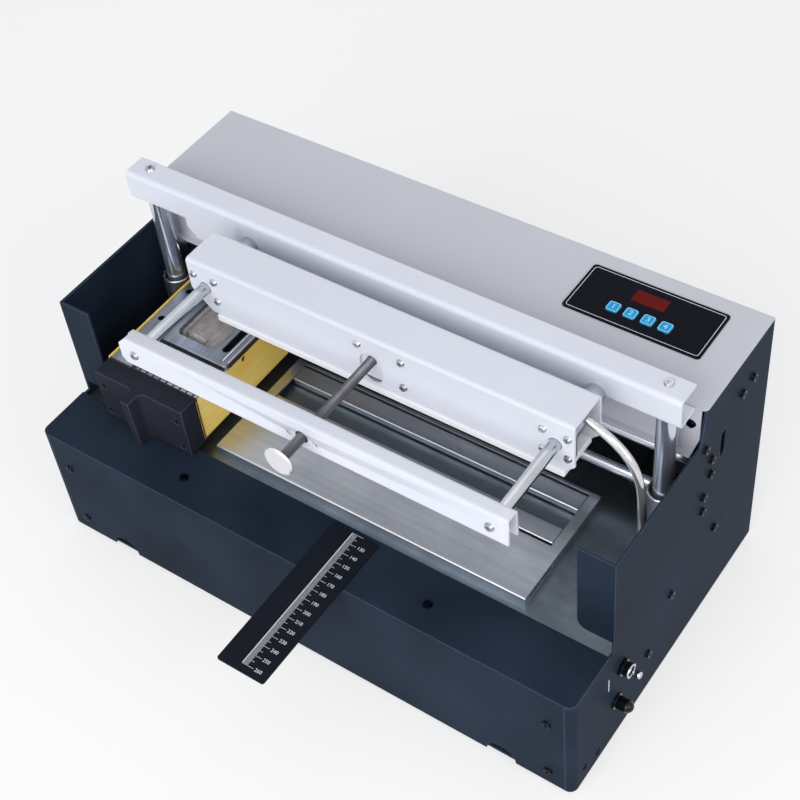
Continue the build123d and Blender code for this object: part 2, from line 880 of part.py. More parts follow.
with BuildPart() as display_window:
    with BuildSketch(flat(deck_top - sheet)):
        with Locations((window_x, window_y)):
            Rectangle(window_width, window_deep)
    extrude(amount=sheet + overlay_thick)
save(display_window, "display_window")

switch_top = board_top + switch_high
with BuildPart() as control_board:
    with BuildSketch(flat(board_top - board_thick)):
        with Locations(((overlay_left + overlay_right) / 2, (overlay_front + overlay_back) / 2)):
            Rectangle(overlay_right - overlay_left, overlay_back - overlay_front - 2 * pillar_radius)
    extrude(amount=board_thick)
    with BuildSketch(flat(board_top)):
        with Locations(((overlay_left + overlay_right) / 2, (overlay_front + overlay_back) / 2)):
            with GridLocations(
                overlay_right - overlay_left - 4 * pillar_radius,
                overlay_back - overlay_front - 5 * pillar_radius,
                2,
                2,
            ):
                Circle(pillar_radius)
        with Locations((window_x, window_y)):
            Rectangle(window_width + 2 * sheet, window_deep + 2 * sheet)
    extrude(amount=deck_top - sheet - board_top)
    with BuildSketch(flat(board_top)):
        with Locations(*button_places):
            Rectangle(switch_body_share * stem_radius, switch_body_share * stem_radius)
    extrude(amount=switch_top - board_top)
save(control_board, "control_board")

for number, (x, y) in enumerate(button_places):
    with BuildPart() as button:
        with BuildSketch(flat(deck_top + button_travel + button_gap / 2)):
            with Locations((x, y)):
                RectangleRounded(button_size, button_size, button_corner)
        extrude(amount=overlay_thick + button_rise - button_travel - button_gap / 2)
        fillet(button.edges().group_by(Axis.Z)[-1], button_edge)
        rod(
            flat(switch_top + button_travel + button_gap / 2),
            x,
            y,
            stem_radius,
            deck_top - switch_top,
        )
    save(button, f"button_{number + 1}")

# Lift: sleeves in the tray, bushes in the sleeves, and the screw motor under the tray
with BuildPart() as lift_sleeves:
    for x in (-post_x, post_x):
        rod(flat(sleeve_foot), x, post_y, sleeve_radius, sleeve_top - sleeve_foot)
        with BuildSketch(flat(tray_top - tray_sheet - sleeve_flange_thick)):
            with Locations((x, post_y)):
                RectangleRounded(sleeve_flange_x, sleeve_flange_y, flange_corner)
        extrude(amount=sleeve_flange_thick)
        rod(
            flat(sleeve_foot),
            x,
            post_y,
            sleeve_radius - sleeve_wall,
            sleeve_top - sleeve_foot,
            Mode.SUBTRACT,
        )
save(lift_sleeves, "lift_sleeves")

bush_spans = [
    (sleeve_foot, lower_bush_length),
    (sleeve_top - bush_depth - bush_length, bush_length),
]
with BuildPart() as lift_bushes:
    for x in (-post_x, post_x):
        for foot, length in bush_spans:
            with BuildSketch(flat(foot)):
                with Locations((x, post_y)):
                    Circle(sleeve_radius - sleeve_wall - fit_gap)
                    Circle(post_radius + fit_gap, mode=Mode.SUBTRACT)
            extrude(amount=length)
save(lift_bushes, "lift_bushes")


def square_motor(plane, x, y, length):
    """A square screw motor: laminated middle between two end caps, with cut corners."""
    with BuildPart() as motor:
        cap = length * motor_cap_share
        for start, part_length, size in (
            (0, cap, motor_size),
            (cap, length - 2 * cap, motor_size - 2 * seam),
            (length - cap, cap, motor_size),
        ):
            with BuildSketch(plane.offset(start)) as outline:
                with Locations((x, y)):
                    Rectangle(size, size)
                chamfer(outline.vertices(), motor_corner)
            extrude(amount=part_length)
    return motor.part


lift_motor_foot = tray_top - tray_sheet - motor_length
with BuildPart() as lift_motor:
    add(square_motor(flat(lift_motor_foot), clamp_x, post_y, motor_length))
save(lift_motor, "lift_motor")

with BuildPart() as lift_screw:
    rod(flat(lift_screw_foot), clamp_x, post_y, screw_radius, lift_motor_foot - lift_screw_foot - seam)
save(lift_screw, "lift_screw")

# Carriage guide: two rods, their supports, the screw and its motor
with BuildPart() as carriage_rails:
    for y, z in rail_places:
        rod(side(-inner + seam), y, z, rail_radius, 2 * (inner - seam))
save(carriage_rails, "carriage_rails")

left_block_x = screw_left - seam
with BuildPart() as rail_supports:
    for y, z in rail_places:
        for start in (-inner, inner - support_thick):
            with BuildSketch(side(start)):
                with Locations((y, z)):
                    RectangleRounded(support_wide, support_high, support_corner)
                    Circle(rail_radius + fit_gap, mode=Mode.SUBTRACT)
                    with Locations((0, -support_bolt), (0, support_bolt)):
                        Circle(bolt_hole, mode=Mode.SUBTRACT)
            extrude(amount=support_thick)
    with BuildSketch(side(left_block_x)) as outline:
        with Locations((screw_y, tray_top)):
            Rectangle(bearing_size, screw_z + bearing_size / 2 - tray_top, align=(Align.CENTER, Align.MIN))
        fillet(outline.vertices().group_by(Axis.Y)[-1], support_corner)
        with Locations((screw_y, screw_z)):
            Circle(screw_radius + screw_gap, mode=Mode.SUBTRACT)
    extrude(amount=support_thick)
    with BuildSketch(flat(base_top)):
        with Locations((clamp_x, post_y)):
            Circle(bearing_cup)
    extrude(amount=bearing_cup_high)
    with BuildSketch(flat(lift_screw_foot - seam)):
        with Locations((clamp_x, post_y)):
            Circle(screw_radius + screw_gap)
    extrude(amount=bearing_cup_high, mode=Mode.SUBTRACT)
save(rail_supports, "screw_and_rail_supports")

motor_front = inner - motor_inset - motor_length
with BuildPart() as carriage_motor:
    add(square_motor(side(motor_front), screw_y, screw_z, motor_length))
    with BuildSketch(front(screw_y + motor_size / 2)):
        with BuildLine():
            Polyline(
                (motor_front, screw_z + motor_size / 2),
                (motor_front, tray_top),
                (motor_front - motor_foot, tray_top),
                (motor_front - motor_foot, tray_top + support_sheet),
                (motor_front - support_sheet, tray_top + support_sheet),
                (motor_front - support_sheet, screw_z + motor_size / 2),
                close=True,
            )
        make_face()
    extrude(amount=motor_size)
    rod(side(motor_front - support_sheet), screw_y, screw_z, screw_radius + shaft_clear, support_sheet, Mode.SUBTRACT)
save(carriage_motor, "carriage_motor")

with BuildPart() as carriage_screw:
    rod(side(screw_left), screw_y, screw_z, screw_radius, motor_front - screw_left - seam)
save(carriage_screw, "carriage_screw")

# Electrics in the base
with BuildPart() as main_board:
    with BuildSketch(flat(base_top + pillar_high)):
        with Locations((board_x, board_y)):
            Rectangle(board_width, board_deep)
    extrude(amount=board_thick)
    with BuildSketch(flat(base_top)):
        with Locations((board_x, board_y)):
            with GridLocations(board_width - 4 * pillar_radius, board_deep - 4 * pillar_radius, 2, 2):
                Circle(pillar_radius)
    extrude(amount=pillar_high)
    board_face = base_top + pillar_high + board_thick
    with BuildSketch(flat(board_face)):
        with Locations((board_x + board_width * heat_sink_x, board_y)):
            Rectangle(heat_sink_wide, board_deep * heat_sink_long)
        with Locations((board_x + board_width * relay_x, board_y + board_deep * relay_y)):
            with GridLocations(relay_pitch, 0, 3, 1):
                Rectangle(relay_wide, relay_long)
    extrude(amount=relay_high)
    with BuildSketch(flat(board_face)):
        with Locations((board_x + board_width * capacitor_x, board_y + board_deep * capacitor_y)):
            with GridLocations(capacitor_pitch, 0, 3, 1):
                Circle(capacitor_radius)
    extrude(amount=capacitor_high)
    with BuildSketch(flat(board_face)):
        with Locations((board_x, board_y + board_deep * strip_y)):
            Rectangle(board_width * strip_long, strip_wide)
    extrude(amount=strip_wide)
save(main_board, "main_board")

with BuildPart() as transformer:
    block(
        (transformer_x - core_width / 2, transformer_x + core_width / 2),
        (transformer_y - core_deep / 2, transformer_y + core_deep / 2),
        (base_top, base_top + core_high),
    )
    with BuildSketch(flat(base_top + 2 * pillar_radius)):
        with Locations((transformer_x, transformer_y)):
            RectangleRounded(core_width * winding_share, winding_deep, 2 * pillar_radius)
    extrude(amount=core_high - 4 * pillar_radius)
    with BuildSketch(flat(base_top)):
        with Locations((transformer_x, transformer_y)):
            Rectangle(core_width + 8 * pillar_radius, core_deep)
    extrude(amount=support_sheet)
save(transformer, "transformer")

with BuildPart() as power_inlet:
    with BuildSketch(front(housing_depth)):
        with Locations((inlet_x, inlet_z)):
            RectangleRounded(inlet_width + 6 * inlet_reach, inlet_high + 3 * inlet_reach, inlet_reach)
    extrude(amount=-inlet_reach)
    with BuildSketch(front(housing_depth)):
        with Locations((inlet_x, inlet_z)):
            Rectangle(inlet_width, inlet_high)
    extrude(amount=inlet_deep)
    with BuildSketch(front(housing_depth + inlet_reach)) as mouth:
        with Locations((inlet_x, inlet_z)):
            Rectangle(inlet_width - 2 * wall, inlet_high - 2 * wall)
        chamfer(mouth.vertices().group_by(Axis.Y)[0], inlet_reach)
    extrude(amount=inlet_recess, mode=Mode.SUBTRACT)
    with BuildSketch(front(housing_depth + inlet_reach - inlet_recess)):
        with Locations((inlet_x - pin_pitch, inlet_z - wall), (inlet_x + pin_pitch, inlet_z - wall)):
            Rectangle(wall, 2 * wall)
        with Locations((inlet_x, inlet_z + wall)):
            Rectangle(wall, 2 * wall)
    extrude(amount=-pin_long)
save(power_inlet, "power_inlet")

with BuildPart() as fuse_holder:
    with BuildSketch(front(fuse_y)):
        with BuildLine():
            Polyline(
                (inner - fuse_inside, fuse_z),
                (inner - fuse_inside, fuse_z + fuse_radius),
                (half, fuse_z + fuse_radius),
                (half, fuse_z + fuse_radius + sheet),
                (half + sheet, fuse_z + fuse_radius + sheet),
                (half + sheet, fuse_z + fuse_radius),
                (half + fuse_reach - fuse_radius, fuse_z + fuse_radius),
            )
            RadiusArc(
                (half + fuse_reach - fuse_radius, fuse_z + fuse_radius),
                (half + fuse_reach, fuse_z),
                fuse_radius,
            )
            Line((half + fuse_reach, fuse_z), (inner - fuse_inside, fuse_z))
        make_face()
    revolve(axis=Axis((0, fuse_y, fuse_z), (1, 0, 0)))
save(fuse_holder, "fuse_holder")

lever_pivot = half + toggle_bush_length / 2
with BuildPart() as toggle_switch:
    block(
        (inner - toggle_body_deep, inner),
        (toggle_y - toggle_body_wide / 2, toggle_y + toggle_body_wide / 2),
        (toggle_z - toggle_body_high / 2, toggle_z + toggle_body_high / 2),
    )
    rod(side(inner), toggle_y, toggle_z, toggle_bush, wall + toggle_bush_length)
    with BuildSketch(side(half)):
        with Locations((toggle_y, toggle_z)):
            RegularPolygon(toggle_nut, 6, major_radius=False)
    extrude(amount=toggle_nut_thick)
    rod(
        side(lever_pivot - lever_ball - screw_gap),
        toggle_y,
        toggle_z,
        lever_ball + screw_gap,
        2 * toggle_bush_length,
        Mode.SUBTRACT,
    )
save(toggle_switch, "toggle_switch")

lever_tip = half + lever_reach
neck_x = lever_pivot + math.sqrt(lever_ball**2 - lever_neck**2)
with BuildPart() as toggle_lever:
    with BuildSketch(front(toggle_y)):
        with BuildLine():
            ThreePointArc(
                (lever_pivot - lever_ball, toggle_z),
                (lever_pivot, toggle_z + lever_ball),
                (neck_x, toggle_z + lever_neck),
            )
            Line((neck_x, toggle_z + lever_neck), (lever_tip - lever_radius, toggle_z + lever_radius))
            ThreePointArc(
                (lever_tip - lever_radius, toggle_z + lever_radius),
                (lever_tip - lever_radius * (1 - math.sqrt(0.5)), toggle_z + lever_radius * math.sqrt(0.5)),
                (lever_tip, toggle_z),
            )
            Line((lever_tip, toggle_z), (lever_pivot - lever_ball, toggle_z))
        make_face()
    revolve(axis=Axis((0, toggle_y, toggle_z), (1, 0, 0)))
save(toggle_lever, "toggle_lever")

# Housing fasteners
with BuildPart() as side_bolts:
    for places, shank in (
        (side_bolt_places, wall + bolt_tail),
        (support_bolts, wall + support_thick),
    ):
        screws(side(half), places, bolt_head, bolt_head_high, bolt_hole - seam, shank, True)
    mirror(about=Plane.YZ)
save(side_bolts, "side_bolts")

with BuildPart() as cover_screws:
    face_places = [(x, z) for x in (-face_screw_x, face_screw_x) for z in face_screw_z]
    screws(front(0), face_places, screw_head, screw_head_high, bolt_hole - seam, screw_shank)
    skirt_places = [(-skirt_screw_x, skirt_screw_z), (skirt_screw_x, skirt_screw_z)]
    screws(front(deck_front), skirt_places, screw_head, screw_head_high, bolt_hole - seam, screw_shank)
    deck_places = [(-deck_screw_x, deck_screw_y), (deck_screw_x, deck_screw_y)]
    screws(flat(box_top), deck_places, screw_head, screw_head_high, bolt_hole - seam, screw_shank)
    for x, y in ruler_screws:
        rod(flat(box_top - screw_shank), x, y, bolt_hole - seam, screw_shank + ruler_thick)
save(cover_screws, "cover_screws")

# Clamp frame
rod_xs = (clamp_x - rod_reach, clamp_x + rod_reach)
with BuildPart() as rear_beam:
    with BuildSketch(side(-beam_half)) as section:
        with Locations((beam_front, beam_foot)):
            Rectangle(beam_back - beam_front, beam_top - beam_foot, align=(Align.MIN, Align.MIN))
        fillet(section.vertices().group_by(Axis.X)[0], beam_corner)
        with Locations((beam_front + beam_sheet, beam_foot + beam_sheet)):
            Rectangle(
                beam_back - beam_front,
                beam_top - beam_foot - 2 * beam_sheet,
                align=(Align.MIN, Align.MIN),
                mode=Mode.SUBTRACT,
            )
    extrude(amount=2 * beam_half)
    block((jaw_left, jaw_right), (beam_front, beam_back), (beam_foot, beam_foot + beam_sheet), Mode.SUBTRACT)
    block(
        (jaw_left, jaw_right),
        (beam_front, beam_front + beam_sheet),
        (jaw_foot, beam_top - 2 * beam_corner),
    )
    foot_corners = rear_beam.edges().filter_by(Axis.Y).group_by(Axis.Z)[0]
    chamfer(foot_corners, jaw_foot_cut)
    for x in (-post_x, post_x):
        rod(flat(beam_foot), x, post_y, post_radius + fit_gap, beam_sheet, Mode.SUBTRACT)
        rod(flat(beam_top - beam_sheet), x, post_y, bolt_hole, beam_sheet, Mode.SUBTRACT)
save(rear_beam, "rear_beam")

with BuildPart() as lift_posts:
    for x in (-post_x, post_x):
        rod(flat(post_foot), x, post_y, post_radius, beam_top - beam_sheet - post_foot)
    ends = lift_posts.edges().group_by(Axis.Z)[0]
    chamfer(ends, post_chamfer)
    for x in (-post_x, post_x):
        rod(
            flat(beam_top - beam_sheet - screw_shank),
            x,
            post_y,
            bolt_hole,
            screw_shank,
            Mode.SUBTRACT,
        )
save(lift_posts, "lift_posts")

with BuildPart() as lift_yoke:
    with BuildSketch(flat(post_foot - yoke_thick)) as outline:
        with Locations((0, post_y)):
            Rectangle(2 * yoke_half, yoke_width)
        fillet(outline.vertices(), yoke_width / 3)
        with Locations((clamp_x, post_y)):
            Circle(yoke_width * yoke_eye_share)
            Circle(screw_radius + screw_gap, mode=Mode.SUBTRACT)
    extrude(amount=yoke_thick)
save(lift_yoke, "lift_yoke")

with BuildPart() as guide_rods:
    for x in rod_xs:
        rod(front(beam_front), x, rod_z, rod_radius, beam_front - bar_front - bar_sheet)
        rod(front(beam_front), x, rod_z, collar_radius, collar_length)
save(guide_rods, "guide_rods")

with BuildPart() as crossbar:
    with BuildSketch(side(clamp_x - bar_half)) as section:
        with Locations((bar_front, bar_foot)):
            Rectangle(bar_back - bar_front, bar_top - bar_foot, align=(Align.MIN, Align.MIN))
        fillet(section.vertices().group_by(Axis.Y)[-1], bar_bend)
        with Locations((bar_front + bar_sheet, bar_foot)):
            Rectangle(
                bar_back - bar_front - 2 * bar_sheet,
                bar_top - bar_foot - bar_sheet,
                align=(Align.MIN, Align.MIN),
                mode=Mode.SUBTRACT,
            )
    extrude(amount=2 * bar_half)
    for x in (clamp_x - bar_half, clamp_x + bar_half):
        with BuildSketch(front(bar_back)):
            with Locations((x, bar_top)):
                Rectangle(2 * bar_corner, 2 * bar_corner, rotation=45)
            with Locations((x, bar_foot)):
                Rectangle(2 * bar_foot_corner, 2 * bar_foot_corner, rotation=45)
        extrude(amount=bar_back - bar_front, mode=Mode.SUBTRACT)
    with BuildSketch(front(bar_back)):
        with Locations(*[(x, rod_z) for x in rod_xs]):
            Circle(rod_radius + fit_gap)
    extrude(amount=bar_sheet, mode=Mode.SUBTRACT)
    with BuildSketch(front(bar_back)):
        with Locations((clamp_x, spindle_z)):
            Circle(spindle_radius + spindle_hole_gap)
    extrude(amount=bar_back - bar_front, mode=Mode.SUBTRACT)
    with BuildSketch(front(bar_front + bar_sheet)):
        with Locations(*[(x, rod_z) for x in rod_xs]):
            Circle(bolt_hole)
        nut_slots = [(clamp_x + across, spindle_z - nut_slot_drop) for across in (-nut_screw, nut_screw)]
        with Locations(*nut_slots):
            SlotOverall(nut_slot_long, nut_slot_wide, rotation=nut_slot_turn)
    extrude(amount=bar_sheet, mode=Mode.SUBTRACT)
save(crossbar, "crossbar")

with BuildPart() as spindle_nut:
    with BuildSketch(front(bar_front + bar_sheet + nut_flange_thick)) as outline:
        with Locations((clamp_x, spindle_z)):
            Rectangle(2 * nut_flange_half, 2 * nut_flange_high)
        fillet(outline.vertices(), nut_flange_corner)
        with Locations((clamp_x, spindle_z)):
            Circle(spindle_radius + screw_gap, mode=Mode.SUBTRACT)
    extrude(amount=nut_flange_thick)
    with BuildSketch(front(bar_back - bar_sheet)):
        with Locations((clamp_x, spindle_z)):
            Circle(nut_radius)
            Circle(spindle_radius + screw_gap, mode=Mode.SUBTRACT)
    extrude(amount=bar_back - bar_front - 2 * bar_sheet - nut_flange_thick)
save(spindle_nut, "spindle_nut")

with BuildPart() as clamp_screws:
    top_places = [(-post_x, post_y), (post_x, post_y)]
    screws(flat(beam_top), top_places, screw_head, screw_head_high, bolt_hole - seam, screw_shank)
    bar_places = [(x, rod_z) for x in rod_xs]
    screws(front(bar_front), bar_places, screw_head, screw_head_high, bolt_hole - seam, bar_sheet)
save(clamp_screws, "clamp_screws")

# Front jaw
with BuildPart() as jaw_channel:
    with BuildSketch(side(clamp_x - channel_half)) as section:
        with Locations((channel_front, channel_foot)):
            Rectangle(channel_back - channel_front, channel_top - channel_foot, align=(Align.MIN, Align.MIN))
        fillet(section.vertices().group_by(Axis.Y)[-1], bar_bend)
        with Locations((channel_front + channel_sheet, channel_foot)):
            Rectangle(
                channel_back - channel_front - 2 * channel_sheet,
                channel_top - channel_foot - channel_sheet,
                align=(Align.MIN, Align.MIN),
                mode=Mode.SUBTRACT,
            )
    extrude(amount=2 * channel_half)
    for x, cut in ((clamp_x - channel_half, left_cut), (clamp_x + channel_half, right_cut)):
        with BuildSketch(front(channel_back)):
            with Locations((x, channel_foot)):
                Rectangle(math.sqrt(2) * cut, math.sqrt(2) * cut, rotation=45)
        extrude(amount=channel_back - channel_front, mode=Mode.SUBTRACT)
    with BuildSketch(front(channel_back)):
        with Locations(*[(x, rod_z) for x in rod_xs]):
            Circle(collar_radius + screw_gap)
    extrude(amount=channel_sheet, mode=Mode.SUBTRACT)
    with BuildSketch(front(channel_front + channel_sheet)):
        with Locations(*[(x, rod_z) for x in rod_xs]):
            Circle(rod_radius + screw_gap)
        with Locations((clamp_x, (arch_foot + spindle_z) / 2)):
            SlotOverall(
                spindle_z - arch_foot + arch_rise_share * arch_radius,
                2 * arch_radius,
                rotation=90,
            )
        with Locations(*plate_screws):
            Circle(bolt_hole)
        with Locations(*[(x, rod_z) for x in rod_xs]):
            with GridLocations(2 * rod_bush_screw, 2 * rod_bush_screw, 2, 2):
                Circle(bolt_hole)
    extrude(amount=channel_sheet, mode=Mode.SUBTRACT)
save(jaw_channel, "jaw_channel")

with BuildPart() as jaw_bar:
    block(
        (jaw_bar_left, jaw_bar_right),
        (jaw_bar_front, channel_back),
        (channel_foot - jaw_bar_thick, channel_foot),
    )
    chamfer(jaw_bar.edges(), jaw_bar_edge)
save(jaw_bar, "jaw_bar")

plate_face = channel_front + channel_sheet
bush_screw_places = [
    (x + across, rod_z + up)
    for x in rod_xs
    for across in (-rod_bush_screw, rod_bush_screw)
    for up in (-rod_bush_screw, rod_bush_screw)
]
with BuildPart() as jaw_bushes:
    for x in rod_xs:
        with BuildSketch(front(plate_face + rod_bush_flange_thick)):
            with Locations((x, rod_z)):
                RectangleRounded(rod_bush_flange, rod_bush_flange, support_corner)
        extrude(amount=rod_bush_flange_thick)
        rod(front(plate_face + rod_bush_length), x, rod_z, rod_bush_radius, rod_bush_length)
        rod(
            front(plate_face + rod_bush_length),
            x,
            rod_z,
            rod_radius + fit_gap,
            rod_bush_length,
            Mode.SUBTRACT,
        )
    with BuildSketch(front(plate_face + rod_bush_flange_thick)):
        with Locations(*bush_screw_places):
            Circle(bolt_hole)
    extrude(amount=rod_bush_flange_thick, mode=Mode.SUBTRACT)
save(jaw_bushes, "jaw_bushes")

with BuildPart() as spindle_bearing:
    block((plate_left, plate_right), (plate_face, plate_face + plate_thick), (plate_foot, plate_top))
    block(
        (clamp_x - bearing_block_width / 2, clamp_x + bearing_block_width / 2),
        (plate_face, plate_face + bearing_block_deep),
        (spindle_z - bearing_block_high / 2, spindle_z + bearing_block_high / 2),
    )
    rod(
        front(spindle_tip + screw_gap),
        clamp_x,
        spindle_z,
        spindle_radius + screw_gap,
        spindle_tip,
        Mode.SUBTRACT,
    )
    with BuildSketch(front(plate_face + plate_thick)):
        with Locations(*plate_screws):
            Circle(bolt_hole)
    extrude(amount=plate_thick, mode=Mode.SUBTRACT)
save(spindle_bearing, "spindle_bearing")

with BuildPart() as jaw_screws:
    for places in (bush_screw_places, plate_screws):
        screws(
            front(channel_front),
            places,
            screw_head * small_head_share,
            screw_head_high,
            bolt_hole - seam,
            channel_sheet + plate_thick,
        )
save(jaw_screws, "jaw_screws")

with BuildPart() as jaw_conduit:
    with BuildLine(front(conduit_y)) as path:
        FilletPolyline(
            conduit_start,
            conduit_shoulder,
            conduit_elbow,
            (conduit_x, conduit_drop_z),
            (conduit_x, conduit_foot),
            radius=conduit_bend,
        )
    with BuildSketch(Plane(origin=path.line @ 0, z_dir=path.line % 0)):
        Circle(conduit_radius)
    sweep()
    block(
        (conduit_start[0] + clip_inset, conduit_start[0] + clip_inset + clip_long),
        (conduit_y - clip_wide / 2, conduit_y + clip_wide / 2),
        (conduit_start[1] - conduit_radius - clip_wall, channel_top - channel_sheet),
    )
save(jaw_conduit, "jaw_conduit")

# Clamping spindle
with BuildPart() as clamp_spindle:
    rod(front(spindle_tip), clamp_x, spindle_z, spindle_radius, spindle_tip - knob_face - knob_thick)
    chamfer(clamp_spindle.edges().group_by(Axis.Y)[-1], spindle_chamfer)
save(clamp_spindle, "clamp_spindle")

knob_back = knob_face + knob_thick
knob_sphere = (knob_radius**2 + knob_dome**2) / (2 * knob_dome)
knob_middle = knob_face + knob_sphere - math.sqrt(knob_sphere**2 - (knob_radius / 2) ** 2)
hub_end = knob_back + knob_hub_length
with BuildPart() as clamp_knob:
    with BuildSketch(side(clamp_x)):
        with BuildLine():
            Polyline(
                (knob_face, spindle_z),
                (knob_back, spindle_z),
                (knob_back, spindle_z + spindle_radius),
                (hub_end, spindle_z + spindle_radius),
                (hub_end, spindle_z + knob_hub),
                (knob_back, spindle_z + knob_hub + knob_thick / 2),
                (knob_back, spindle_z + knob_radius - knob_edge),
                (knob_back - knob_edge, spindle_z + knob_radius),
                (knob_face + knob_dome, spindle_z + knob_radius),
            )
            ThreePointArc(
                (knob_face + knob_dome, spindle_z + knob_radius),
                (knob_middle, spindle_z + knob_radius / 2),
                (knob_face, spindle_z),
            )
        make_face()
    revolve(axis=Axis((clamp_x, 0, spindle_z), (0, 1, 0)))
save(clamp_knob, "clamp_knob")

# Glue carriage
with BuildPart() as pot_shell:
    with BuildSketch(front(pot_back)) as section:
        with Locations((pot_left, pot_foot)):
            Rectangle(pot_right - pot_left, shell_top - pot_foot, align=(Align.MIN, Align.MIN))
        fillet(section.vertices().group_by(Axis.Y)[0], 2 * pot_sheet)
        with Locations((pot_left + pot_sheet, pot_foot + pot_sheet)):
            Rectangle(
                pot_right - pot_left - 2 * pot_sheet,
                shell_top - pot_foot,
                align=(Align.MIN, Align.MIN),
                mode=Mode.SUBTRACT,
            )
        with Locations((pot_left, shell_top)):
            Rectangle(pot_sheet, heater_top + pot_sheet - shell_top, align=(Align.MIN, Align.MIN))
    extrude(amount=pot_back - pot_front)
    rod(side(pot_right - pot_sheet), shell_hole_y, shell_hole_z, shell_hole, pot_sheet, Mode.SUBTRACT)
save(pot_shell, "pot_shell")

block_foot = pot_foot + pot_sheet
tank_left = heater_right + seam
tank_right = pot_right - pot_sheet
with BuildPart() as glue_tank:
    block((tank_left, tank_right), (frame_front, pot_back), (block_foot, shell_top))
    with BuildSketch(flat(tank_floor)):
        with Locations(((well_left + well_right) / 2, (well_front + well_back) / 2)):
            RectangleRounded(well_right - well_left, well_back - well_front, well_corner)
    extrude(amount=shell_top - tank_floor, mode=Mode.SUBTRACT)
    with BuildSketch(flat(shell_top)):
        with Locations((wiper_slot_x, (wiper_slot_front + wiper_slot_back) / 2)):
            SlotOverall(wiper_slot_back - wiper_slot_front, wiper_slot_wide, rotation=90)
    extrude(amount=-wiper_slot_deep, mode=Mode.SUBTRACT)
    rod(
        front(well_back + shaft_seat),
        roller_x,
        roller_z,
        roller_shaft + fit_gap,
        well_back + shaft_seat - frame_front,
        Mode.SUBTRACT,
    )
    rod(side(tank_right - shaft_seat), shell_hole_y, shell_hole_z, shell_hole, shaft_seat, Mode.SUBTRACT)
save(glue_tank, "glue_tank")

with BuildPart() as heater_block:
    block(
        (pot_left + pot_sheet, heater_right),
        (pot_front, pot_back),
        (block_foot, heater_top),
    )
    chamfer(heater_block.edges().filter_by(Axis.Y).group_by(Axis.Z)[-1], heater_edge)
    with BuildSketch(flat(heater_top)):
        with Locations(*[(heater_screw_x, y) for y in heater_screws_y]):
            Circle(socket_seat)
    extrude(amount=-socket_seat, mode=Mode.SUBTRACT)
    block(
        (heater_right + seam, tank_right - seam),
        (pot_front, pot_front + terminal_deep),
        (shell_top - terminal_high, shell_top),
    )
    with BuildSketch(flat(shell_top)):
        with Locations(((heater_right + tank_right) / 2, pot_front + terminal_deep / 2)):
            with GridLocations(terminal_pitch, 0, terminal_count, 1):
                Rectangle(terminal_slot, terminal_deep)
    extrude(amount=-terminal_slot_deep, mode=Mode.SUBTRACT)
save(heater_block, "heater_block")

with BuildPart() as pot_top_frame:
    with BuildSketch(flat(shell_top)) as outline:
        with Locations((frame_left, frame_front)):
            Rectangle(pot_right - frame_left, pot_back - frame_front, align=(Align.MIN, Align.MIN))
        fillet(outline.vertices().group_by(Axis.X)[-1], frame_corner / 2)
        with Locations(((well_left + well_right) / 2, (well_front + well_back) / 2)):
            RectangleRounded(well_right - well_left, well_back - well_front, well_corner, mode=Mode.SUBTRACT)
        with Locations((wiper_slot_x, (wiper_slot_front + wiper_slot_back) / 2)):
            SlotOverall(
                wiper_slot_back - wiper_slot_front, wiper_slot_wide, rotation=90, mode=Mode.SUBTRACT
            )
    extrude(amount=frame_thick)
    chamfer(pot_top_frame.edges().group_by(Axis.Z)[-1], frame_edge)
save(pot_top_frame, "pot_top_frame")

with BuildPart() as doctor_blade:
    with BuildSketch(front(well_back - well_corner)):
        with BuildLine():
            Polyline(
                (well_right, blade_foot),
                (well_right, shell_top),
                (well_right - blade_thick + blade_slope, shell_top),
                (well_right - blade_thick, shell_top - blade_thick),
                (well_right - blade_thick, blade_foot),
                close=True,
            )
        make_face()
    extrude(amount=well_back - well_front - 2 * well_corner)
save(doctor_blade, "doctor_blade")

roller_front = well_front + roller_gap
roller_back = well_back - roller_gap
motor_face = frame_front - roller_motor_length
with BuildPart() as glue_roller:
    rod(front(roller_back), roller_x, roller_z, roller_radius, roller_back - roller_front)
    fillet(glue_roller.edges().filter_by(GeomType.CIRCLE), roller_end_round)
    rod(
        front(well_back + shaft_seat - seam),
        roller_x,
        roller_z,
        roller_shaft,
        well_back + shaft_seat - seam - frame_front + shaft_seat,
    )
save(glue_roller, "glue_roller")

with BuildPart() as roller_motor:
    rod(front(frame_front), roller_x, roller_z - shaft_offset, roller_motor_radius, roller_motor_length)
    rod(front(frame_front), roller_x, roller_z, shaft_boss, 2 * shaft_seat)
    rod(
        front(frame_front),
        roller_x,
        roller_z,
        roller_shaft + screw_gap,
        shaft_seat + screw_gap,
        Mode.SUBTRACT,
    )
save(roller_motor, "roller_motor")

